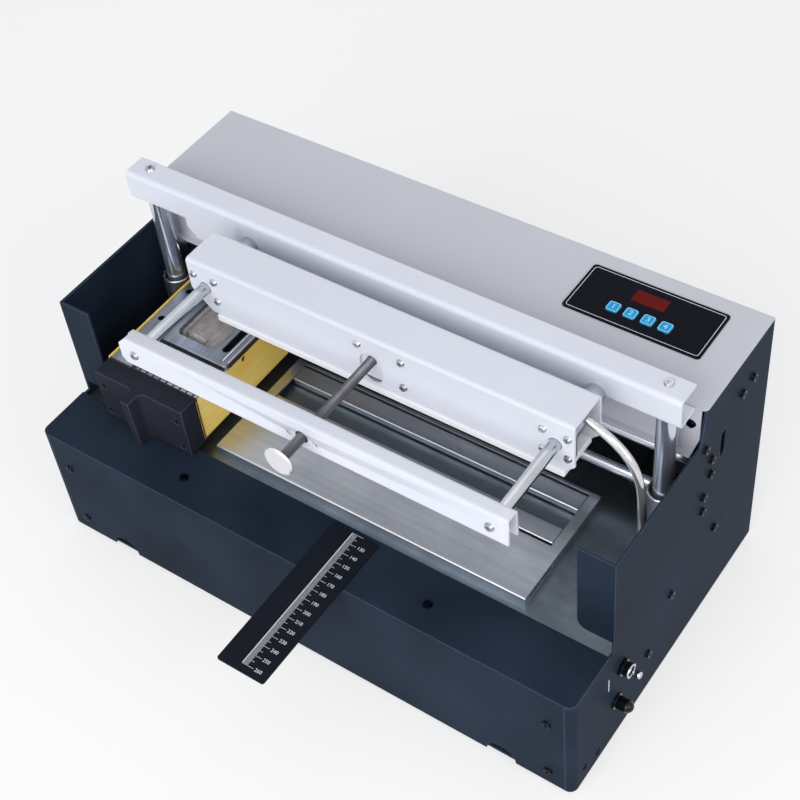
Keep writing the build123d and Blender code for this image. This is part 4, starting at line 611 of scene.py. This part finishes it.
# %% Threaded rods
def threaded(start, length, axis, radius, pitch, depth, land, steps=20):
    """A threaded rod from a place, this long: all in millimetres, land is the crest's width."""
    shape = bmesh.new()
    flank = (pitch - land) / 2
    profile = ((0, radius - depth), (flank, radius), (flank + land, radius), (pitch, radius - depth))
    points = [shape.verts.new((out * MM, 0, (along - pitch) * MM)) for along, out in profile]
    edges = [shape.edges.new(pair) for pair in zip(points, points[1:])]
    bmesh.ops.spin(
        shape, geom=points + edges, cent=(0, 0, 0), axis=(0, 0, 1), dvec=(0, 0, pitch / steps * MM),
        angle=math.tau, steps=steps, use_merge=False,
    )
    turns = 1
    while turns * pitch < length + 2 * pitch:
        geometry = shape.verts[:] + shape.edges[:] + shape.faces[:]
        copy = bmesh.ops.duplicate(shape, geom=geometry)["geom"]
        moved = [v for v in copy if isinstance(v, bmesh.types.BMVert)]
        bmesh.ops.translate(shape, vec=(0, 0, turns * pitch * MM), verts=moved)
        turns *= 2
    bmesh.ops.remove_doubles(shape, verts=shape.verts[:], dist=0.005 * MM)
    for height, outward in ((0, -1), (length, 1)):
        geometry = shape.verts[:] + shape.edges[:] + shape.faces[:]
        bmesh.ops.bisect_plane(
            shape, geom=geometry, dist=0.0001 * MM, plane_co=(0, 0, height * MM),
            plane_no=(0, 0, outward), clear_outer=True,
        )
    bmesh.ops.holes_fill(shape, edges=[e for e in shape.edges if e.is_boundary], sides=0)
    bmesh.ops.transform(shape, matrix=Matrix.Translation(start) @ TURN[axis], verts=shape.verts[:])
    bmesh.ops.recalc_face_normals(shape, faces=shape.faces[:])
    return shape


def rod_line(node, axis):
    """Where a plain CAD rod starts, and its length in millimetres, from its box."""
    low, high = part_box(node)
    start = (low + high) / 2
    place = "XYZ".index(axis)
    start[place] = low[place]
    return start, (high[place] - low[place]) / MM


start, length = rod_line("clamp_spindle", "Y")
spindle = threaded(start, length, "Y", 4.0, 1.25, 0.67, 0.16)
finished("threaded_spindle", spindle, thread_steel, "spindle", ["clamp_spindle"])
start, length = rod_line("carriage_screw", "X")
screw = threaded(start, length, "X", 5.0, 2.0, 1.0, 0.75, 16)
finished("threaded_travel_screw", screw, thread_steel, "travel_screw", ["carriage_screw"])
start, length = rod_line("lift_screw", "Z")
screw = threaded(start, length, "Z", 5.0, 2.0, 1.0, 0.75, 16)
finished("threaded_lifting_screw", screw, thread_steel, "lifting_screw", ["lift_screw"])

# %% [markdown]
# ## The clamp knob
# The knob is a turned steel disc, 25 mm across, on a short hub. Its face is slightly domed
# and still shows the rings that the lathe left. They are modelled as shallow steps in the
# profile that is spun, half a millimetre apart, coarser than real ones so that they show.

# %% Turned knob
knob_low, knob_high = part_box("clamp_knob")
knob_middle = (knob_low + knob_high) / 2
knob_middle.y = knob_low.y
knob_radius, knob_dome = 12.4, 1.3
first_ring, ring_count, ring_pitch, ring_depth = 0.4, 20, 0.55, 0.09
face = []
for count in range(ring_count):
    out = first_ring + count * ring_pitch
    face.append((knob_dome * (out / knob_radius) ** 2 + ring_depth * (count % 2), out))
knob_profile = [(0, 0), *face, (1.5, 11.6), (1.8, 12.2), (2.2, knob_radius), (2.9, knob_radius),
                (3.3, 12.1), (3.4, 11.6), (3.4, 7.2), (4.0, 6.2), (6.0, 5.7), (6.4, 5.3), (6.4, 0)]
knob = turned(knob_profile, knob_middle, "Y", 64)
finished("turned_knob", knob, turned_steel, "spindle", ["clamp_knob"])

# %% [markdown]
# ## Old glue
# Hot-melt glue sets to a dull amber, and dust turns it grey-brown. It covers all that stands in
# the pot: the roller, the scraper beside it and the pool itself. Two noises make it: a broad
# one for darker patches, and a finer one, about 2 mm, for the skin's small lumps. It is a
# plastic, so it has no metal in it and an IOR near 1.5.


# %% Old glue
def old_glue(name, colour, dark, streaks, lumps):
    """Set glue: two tones, a stretched streak noise and the height of its lumps."""
    patch_size, skin_size, lump_depth = 9, 2, 0.8
    noise_low, noise_high = 0.38, 0.62
    made, tree, place = blank(name)
    drawn = add(tree, "ShaderNodeMapping", {"Vector": place, "Scale": streaks}).outputs["Vector"]
    patches = speckle(tree, place, patch_size, 5.0, Distortion=0.6)
    skin = speckle(tree, drawn, skin_size, 4.0, Roughness=0.6)
    both = both_of(tree, 0.5, patches, skin)
    share = spread(tree, both, noise_low, noise_high, 0.0, 1.0)
    return closed(made, {
        "Base Color": tinted(tree, share, dark, colour), "Roughness": 0.42, "IOR": 1.5,
        "Specular IOR Level": 0.35, "Normal": bumped(tree, both, lumps, lump_depth),
    })


roller_glue = old_glue("glue_on_roller", "#a39e9c", "#857f7d", (1, 0.12, 1), 0.25)
pool_glue = old_glue("glue_in_pool", "#b9b5b3", "#8d8886", (1, 1, 1), 0.5)

# %% [markdown]
# ## The glue roller
# The roller is a drum 33 mm across. It stands half sunk in the glue and lifts a film of it as
# it turns. It is made like a lathe's piece, with rounded ends and a step round its shaft.

# %% Roller
drum_radius = 16.5
drum_low, drum_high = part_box("glue_roller")
drum_middle = (drum_low + drum_high) / 2
drum_middle.y = at(0, 0, 0).y
shaft_front, shaft_back = (drum_low.y - drum_middle.y) / MM, (drum_high.y - drum_middle.y) / MM
drum_profile = [
    (shaft_front, 0), (shaft_front, 3.7), (shaft_front + 0.3, 4.0), (118.5, 4.0), (118.5, 6.5),
    (120.2, 6.8), (120.4, 12.6), (119.8, 13.4), (119.8, 15.0), (120.4, 16.2), (121.4, drum_radius),
    (157.6, drum_radius), (158.7, 16.1), (159.0, 15.2), (159.0, 4.0), (shaft_back, 4.0), (shaft_back, 0),
]
drum = turned(drum_profile, drum_middle, "Y", 72)
finished("roller_drum", drum, roller_glue, "roller", ["glue_roller"])

# %% [markdown]
# ## The scraper
# The scraper wipes the drum to an even film. It is an angle plate: its flat leaf lies beside
# the roller, with its edge cut back to follow the drum, half a millimetre away. It starts as a
# box whose lower edge is moved, and whose two outer corners are rounded like the pot's.

# %% Scraper
leaf_low, leaf_high = at(-160.9, 113.4, 176.4), at(-149.2, 159.6, 179.0)
scraper = bmesh.new()
corners = slab(scraper, leaf_low, leaf_high)
under_edge = [v for v in corners if v.co.x < leaf_low.x + MM and v.co.z < leaf_low.z + MM]
cut_back, outer_corner = 2.3, 5.6
bmesh.ops.translate(scraper, vec=(cut_back * MM, 0, 0), verts=under_edge)
upright = [
    e for e in scraper.edges
    if abs(e.verts[0].co.z - e.verts[1].co.z) > MM and min(v.co.x for v in e.verts) > leaf_high.x - MM
]
bmesh.ops.bevel(
    scraper, geom=upright, offset=outer_corner * MM, segments=6, profile=0.5, affect="EDGES", material=-1
)
soften(scraper, 0.4, 2, 50)
upright_leaf = bmesh.new()
slab(upright_leaf, at(-152.6, 119.5, 150.2), at(-149.3, 153.5, 176.4))
soften(upright_leaf, 0.4)
scraper = joined(scraper, upright_leaf)
finished("scraper", scraper, roller_glue, "glue_carriage", ["doctor_blade"])

# %% [markdown]
# ## The pool of glue
# The glue has set round the drum and along its sides, with a lumpy skin. The pool is a grid.
# Each point is lifted to just under the drum, or to a bank beside it, and a noise in two sizes
# pushes it up and down. The rim is then drawn down, because the pool has to be a closed solid.

# %% Glue pool
pool = bmesh.new()
pool_middle = at(-169.75, 136.5, 168.6)
pool_size = Matrix.Diagonal((20.6 * MM, 23.3 * MM, 1, 1))
grid = bmesh.ops.create_grid(
    pool, x_segments=44, y_segments=50, size=1, matrix=Matrix.Translation(pool_middle) @ pool_size
)["verts"]
lump, fine_lump, lump_high, under_drum, pool_deep = 6 * MM, 2.4 * MM, 0.6 * MM, 2.5 * MM, 9 * MM
bank_start, bank_run, bank_high, ramp_start, ramp_run = 12 * MM, 3.5 * MM, 8.0 * MM, 113.4, 6.5 * MM
for vert in grid:
    lift = noise.noise(vert.co / lump) + 0.5 * noise.noise(vert.co / fine_lump)
    beside = abs(vert.co.x - drum_middle.x)
    crest = drum_middle.z + math.sqrt(max(0.0, (drum_radius * MM - under_drum) ** 2 - beside**2))
    before = min(1.0, max(0.0, (vert.co.y - at(0, ramp_start, 0).y) / ramp_run))
    vert.co.z += max(0.0, crest - pool_middle.z) * before**0.7
    if beside > bank_start:
        bank = min(1.0, (beside - bank_start) / bank_run) * before
        vert.co.z = max(vert.co.z, pool_middle.z + bank_high * bank)
    vert.co.z += lump_high * lift
outside = [e for e in pool.edges if e.is_boundary]
skirt = bmesh.ops.extrude_edge_only(pool, edges=outside)["geom"]
for vert in skirt:
    if isinstance(vert, bmesh.types.BMVert):
        vert.co.z = pool_middle.z - pool_deep
bmesh.ops.holes_fill(pool, edges=[e for e in pool.edges if e.is_boundary], sides=0)
bmesh.ops.recalc_face_normals(pool, faces=pool.faces[:])
finished("glue_pool", pool, pool_glue, "glue_carriage")

# %% [markdown]
# ## The cast bracket
# The bracket in front of the pot is an iron casting, painted black. It is a thick plate with
# one rib standing out of it, and where the rib leaves the plate the mould was rounded, because
# metal cracks in a sharp inner corner. Its outline from above is drawn with eight points, the
# two inner corners are bevelled into fillets, and the face is extruded down. The rib's foot is
# drawn back a little, as a casting has to taper. Four bolt holes are cut part way into its front.

# %% Casting
bracket = bmesh.new()
plate_left, plate_right, front_face, back_face = -222, -128, 43.5, 62
rib_left, rib_right, rib_front = -180.2, -171.8, 28.2
bracket_top, bracket_foot = 180, 128
fillet, rib_back, taper_left, taper_right = 5.5, 1.8, 1.6, -0.4
outline = [
    (plate_left, back_face), (plate_left, front_face), (rib_left, front_face), (rib_left, rib_front),
    (rib_right, rib_front), (rib_right, front_face), (plate_right, front_face), (plate_right, back_face),
]
outline_points = [bracket.verts.new(at(x, y, bracket_top)) for x, y in outline]
bracket.faces.new(outline_points)
bmesh.ops.bevel(
    bracket, geom=[outline_points[2], outline_points[5]], offset=fillet * MM, segments=6, profile=0.5,
    affect="VERTICES", material=-1,
)
grown = bmesh.ops.extrude_face_region(bracket, geom=bracket.faces[:])["geom"]
foot_points = [v for v in grown if isinstance(v, bmesh.types.BMVert)]
bmesh.ops.translate(bracket, vec=(0, 0, (bracket_foot - bracket_top) * MM), verts=foot_points)
for vert in foot_points:
    if vert.co.y < at(0, rib_front + 1, 0).y:
        vert.co.y += rib_back * MM
        vert.co.x += (taper_left if vert.co.x < at((rib_left + rib_right) / 2, 0, 0).x else taper_right) * MM
bmesh.ops.recalc_face_normals(bracket, faces=bracket.faces[:])
soften(bracket, 0.9)
holes = [(x, z) for x in (-215.5, -135.5) for z in (135.0, 165.0)]
drill = [(40, 0), (40, 3.0), (53, 3.0), (53, 0)]
bracket = cut(bracket, joined(*[turned(drill, at(x, 0, z), "Y", 24) for x, z in holes]))
finished("cast_bracket", bracket, dark_casting, "glue_carriage", ["pot_casting"])

# %% [markdown]
# ## Socket screws
# Four socket screws hold the bracket and three sit flush in the heater block. A socket screw
# is a turned head with a chamfered rim and a six-sided hole, so the hole is a spun profile of
# only six steps, cut out of the head.


# %% Socket screws
def socket_screw(place, axis, out, radius=2.7, high=3.0):
    """A socket head that stands on a place and faces along an axis, out is 1 or -1."""
    rim, floor_high, key_radius, past = 0.4, 1.2, 1.4, 1.0
    head = [(0, 0), (0, radius), (high - rim, radius), (high, radius - rim), (high, 0)]
    hole = [(floor_high, 0), (floor_high, key_radius), (high + past, key_radius), (high + past, 0)]
    solids = [
        turned([(out * along, across) for along, across in profile], place, axis, steps)
        for profile, steps in ((head, 24), (hole, 6))
    ]
    return cut(*solids)


bracket_seat, heater_x, heater_seat = 51.5, -213.5, 177.0
heads = [socket_screw(at(x, bracket_seat, z), "Y", -1) for x, z in holes]
heads += [socket_screw(at(heater_x, y, heater_seat), "Z", 1, 2.9) for y in (74, 120, 157)]
finished("socket_screws", joined(*heads), black_oxide, "glue_carriage", ["carriage_fasteners"])

# %% [markdown]
# ## Insulation and trim round the pot
# Thin sheets keep the pot's heat from the casting and the frame. They show only as brown and
# white edges. A bright strip is screwed along the frame's right side.

# %% Insulation
sheet_brown = plastic("brown_insulation", "#4a3430", "#362624", 0.7, 1.2, 0.3, 0.1)
sheet_white = plastic("white_felt", "#c9c5c8", "#a9a4a8", 0.8, 1.0, 0.5, 0.1)
trim = {
    "brown_sheets": (sheet_brown, "dark_casting", 0.2, [
        (at(-221.5, 62.1, 129), at(-127.3, 63.1, 180.4)),
        (at(-128.3, 105.5, 176.2), at(-127.4, 174, 180.6)),
    ]),
    "felt_edge": (sheet_white, "cast_aluminium", 0.2, [(at(-129.6, 106, 176.2), at(-128.4, 173.5, 181.9))]),
    "frame_strip": (turned_steel, "bright_steel", 0.3, [(at(-134.8, 106, 180.8), at(-133.4, 170, 182.0))]),
}
for name, (finish, slot, edge_radius, sheets) in trim.items():
    shape = bmesh.new()
    for low, high in sheets:
        slab(shape, low, high)
    finished(name, soften(shape, edge_radius), finish, "glue_carriage")

# %% [markdown]
# ## Sleeve rims
# Each lift post slides in a steel sleeve whose top edge is rolled into a lip. The lip is a
# small closed profile spun round the post's axis. It wears the brighter turned steel, so the
# sleeve's top edge carries a painted highlight.

# %% Sleeve rims
rim_profile = [(-0.7, 10.7), (0.2, 10.6), (0.55, 11.1), (0.55, 11.8), (0.2, 12.3), (-0.7, 12.2)]
post_x, post_y, sleeve_top = 238, 169.5, 180
rims = joined(*[
    turned(rim_profile, at(x, post_y, sleeve_top), "Z", 64, closed=True) for x in (-post_x, post_x)
])
# The lip's brighter finish is a painted highlight along the sleeve's top edge.
finished("sleeve_rims", rims, turned_steel, "housing")

# %% [markdown]
# ## The conduit
# A polished tube carries wires from the jaw down through the tray. It leaves the jaw level and
# bends down in one long sweep, as a tube bends over a former. A NURBS curve with eight points
# gives the sweep, its bevel gives the tube, and it is turned into a mesh. A small clip holds it
# under the jaw's top.

# %% Conduit
conduit_radius, conduit_y, clip_edge = 3.4, 123, 0.8
route = [
    (150, 287.2), (186, 287), (207, 280.5), (230, 267), (243, 245), (245.5, 214), (245.5, 165), (245.5, 112),
]
curve = bpy.data.curves.new("conduit_line", "CURVE")
curve.dimensions = "3D"
curve.bevel_depth = conduit_radius * MM
curve.bevel_resolution = 6
curve.use_fill_caps = True
line = curve.splines.new("NURBS")
line.points.add(len(route) - 1)
for point, (x, z) in zip(line.points, route):
    point.co = (*at(x, conduit_y, z), 1)
line.order_u = 4
line.use_endpoint_u = True
line.resolution_u = 12
holder = bpy.data.objects.new("conduit_line", curve)
bpy.context.collection.objects.link(holder)
bpy.context.view_layer.update()
tube_mesh = bpy.data.meshes.new_from_object(holder.evaluated_get(bpy.context.evaluated_depsgraph_get()))
tube = bmesh.new()
tube.from_mesh(tube_mesh)
bmesh.ops.remove_doubles(tube, verts=tube.verts[:], dist=0.001 * MM)
bmesh.ops.recalc_face_normals(tube, faces=tube.faces[:])
bpy.data.objects.remove(holder)
bpy.data.curves.remove(curve)
bpy.data.meshes.remove(tube_mesh)
clip = bmesh.new()
slab(clip, at(154, 117, 283), at(164, 129, 295))
soften(clip, clip_edge)
finished("conduit_tube", joined(tube, clip), tube_steel, "front_jaw", ["jaw_conduit"])

# %% [markdown]
# ## The crossbar's square end
# The CAD crossbar has both upper corners cut back. On the real one only the left end is cut,
# and the right end is square. The CAD mesh is copied and its doubles merged, the copy is cut
# across just before the right end, and the channel's open section is extruded to full length.

# %% Crossbar
bar_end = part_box("crossbar")[1].x
crossbar = bmesh.new()
crossbar.from_mesh(nodes["crossbar"].data)
bmesh.ops.remove_doubles(crossbar, verts=crossbar.verts[:], dist=0.001 * MM)
end_length = 8.5 * MM
bmesh.ops.bisect_plane(
    crossbar, geom=crossbar.verts[:] + crossbar.edges[:] + crossbar.faces[:], dist=0.0001 * MM,
    plane_co=(bar_end - end_length, 0, 0), plane_no=(1, 0, 0), clear_outer=True,
)
rim_edges = [e for e in crossbar.edges if e.is_boundary]
print("section edges", len(rim_edges))
drawn = bmesh.ops.extrude_edge_only(crossbar, edges=rim_edges)["geom"]
end_points = [v for v in drawn if isinstance(v, bmesh.types.BMVert)]
bmesh.ops.translate(crossbar, vec=(end_length, 0, 0), verts=end_points)
bmesh.ops.holes_fill(crossbar, edges=[e for e in crossbar.edges if e.is_boundary], sides=0)
bmesh.ops.triangulate(crossbar, faces=[f for f in crossbar.faces if len(f.verts) > 4])
bmesh.ops.recalc_face_normals(crossbar, faces=crossbar.faces[:])
print("open edges", sum(e.is_boundary for e in crossbar.edges))
finished("square_ended_crossbar", crossbar, clamp_enamel, "clamp_frame", ["crossbar"])

# %% [markdown]
# ## The power switch's lever
# A toggle switch has a chromed bat lever, thin at the ball that it turns on and thicker at its
# tip, and a bright ring round its bush. Both are turned. The ball's middle is the joint's own
# axis, so the lever tips about it.

# %% Lever and ring
pivot = at(263.75, 72, 88.5)
bat = [
    (-4.0, 0), (-3.4, 2.1), (-2.0, 3.46), (0, 4.0), (2.0, 3.46), (3.3, 2.2), (4.2, 1.8), (9.6, 2.9),
    (11.3, 3.1), (12.2, 2.7), (12.6, 1.6), (12.74, 0),
]
finished("bat_lever", turned(bat, pivot, "X", 32), chrome, "power_lever", ["toggle_lever"])
ring_profile = [
    (3.25, 4.5), (4.45, 4.6), (4.65, 5.2), (4.45, 6.3), (3.65, 6.5), (2.85, 6.3), (2.85, 5.9), (3.25, 5.85),
]
bush_ring = turned(ring_profile, pivot, "X", 40, closed=True)
finished("bush_ring", bush_ring, chrome, "housing")

# %% [markdown]
# ## Mark by the switch
# A short white stroke by the lever is the usual sign for on. It is printed on the wall, so it
# is a box as thin as the ink on the scale.

# %% Switch mark
stroke = bmesh.new()
wall_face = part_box("right_side_wall")[1].x
stroke_low, stroke_high = at(0, 51.6, 80.5), at(0, 52.9, 96)
slab(
    stroke, Vector((wall_face - 0.02 * MM, stroke_low.y, stroke_low.z)),
    Vector((wall_face + ink, stroke_high.y, stroke_high.z)),
)
finished("switch_stroke", stroke, white_ink, "housing")

# %% [markdown]
# ## Floor
# The photograph is a catalogue picture on white, with a soft shadow. The floor is a plain pale
# plane. Where a camera ray or a mirrored ray meets it, part of its look is its own white
# light, so that it stays clean but still takes the shadow.


# %% Floor
def looked_at(tree):
    """1 where a ray comes from the camera, a mirror or through glass, else 0."""
    ray = add(tree, "ShaderNodeLightPath").outputs
    share = ray["Is Camera Ray"]
    for other in ("Is Glossy Ray", "Is Transmission Ray"):
        either = add(tree, "ShaderNodeMath", {0: share, 1: ray[other]}, operation="MAXIMUM")
        share = either.outputs["Value"]
    return share


floor_size, floor_gap, floor_glow = 30, 0.2, 0.60
floor_mesh = bpy.data.meshes.new("floor")
floor_shape = bmesh.new()
bmesh.ops.create_grid(
    floor_shape, x_segments=1, y_segments=1, size=floor_size,
    matrix=Matrix.Translation((0, 0, cad_box[0].z - floor_gap * MM)),
)
floor_shape.to_mesh(floor_mesh)
floor_shape.free()
floor = bpy.data.objects.new("floor", floor_mesh)
bpy.context.collection.objects.link(floor)

floor_finish, tree = blank("pale_floor")[:2]
lit = add(tree, "ShaderNodeBsdfDiffuse", {"Color": linear("#f4f4f4")}).outputs["BSDF"]
white = add(tree, "ShaderNodeEmission", {"Color": linear("#ffffff"), "Strength": 1.0}).outputs["Emission"]
clean = add(tree, "ShaderNodeMixShader", {0: floor_glow, 1: lit, 2: white}).outputs["Shader"]
both = add(tree, "ShaderNodeMixShader", {0: looked_at(tree), 1: lit, 2: clean})
add(tree, "ShaderNodeOutputMaterial", {"Surface": both.outputs["Shader"]})
floor_mesh.materials.append(floor_finish)
print("floor", 2 * floor_size, "m wide")

# %% [markdown]
# ## World and lamps
# The light is broad, from above and behind the camera, in a pale room that the dark steel
# mirrors. The world is plain grey light, and white where it is looked at. Three square soft
# lamps stand high, so that no edge of their light crosses the floor near the machine: a small
# one overhead, the main one in front and one at the right. The camera doesn't see them.

# %% World and lamps
world = bpy.data.worlds.new("studio")
bpy.context.scene.world = world
world.use_nodes = True
world.node_tree.nodes.clear()
tree = world.node_tree
room = add(tree, "ShaderNodeBackground", {"Color": linear("#eef1f6"), "Strength": 0.55})
backdrop = add(tree, "ShaderNodeBackground", {"Color": linear("#ffffff"), "Strength": 1.0})
choice = add(
    tree, "ShaderNodeMixShader",
    {0: looked_at(tree), 1: room.outputs["Background"], 2: backdrop.outputs["Background"]},
)
add(tree, "ShaderNodeOutputWorld", {"Surface": choice.outputs["Shader"]})


def lamp(name, place, target, size, power):
    """A square soft lamp at a place, facing a target, in metres and watts."""
    data = bpy.data.lights.new(name, "AREA")
    data.size = size
    data.energy = power
    made = bpy.data.objects.new(name, data)
    made.location = place
    made.rotation_euler = (Vector(target) - Vector(place)).to_track_quat("-Z", "Y").to_euler()
    made.visible_camera = False
    bpy.context.collection.objects.link(made)
    print(name, "lamp", power, "W")


lamp("overhead", (-0.2, 0.3, 2.0), (0, 0, 0.2), 2.0, 4)
lamp("front", (0.3, -2.9, 2.0), (0, 0, 0.15), 2.6, 80)
lamp("right", (2.6, -0.7, 1.75), (0, 0, 0.15), 2.0, 32)
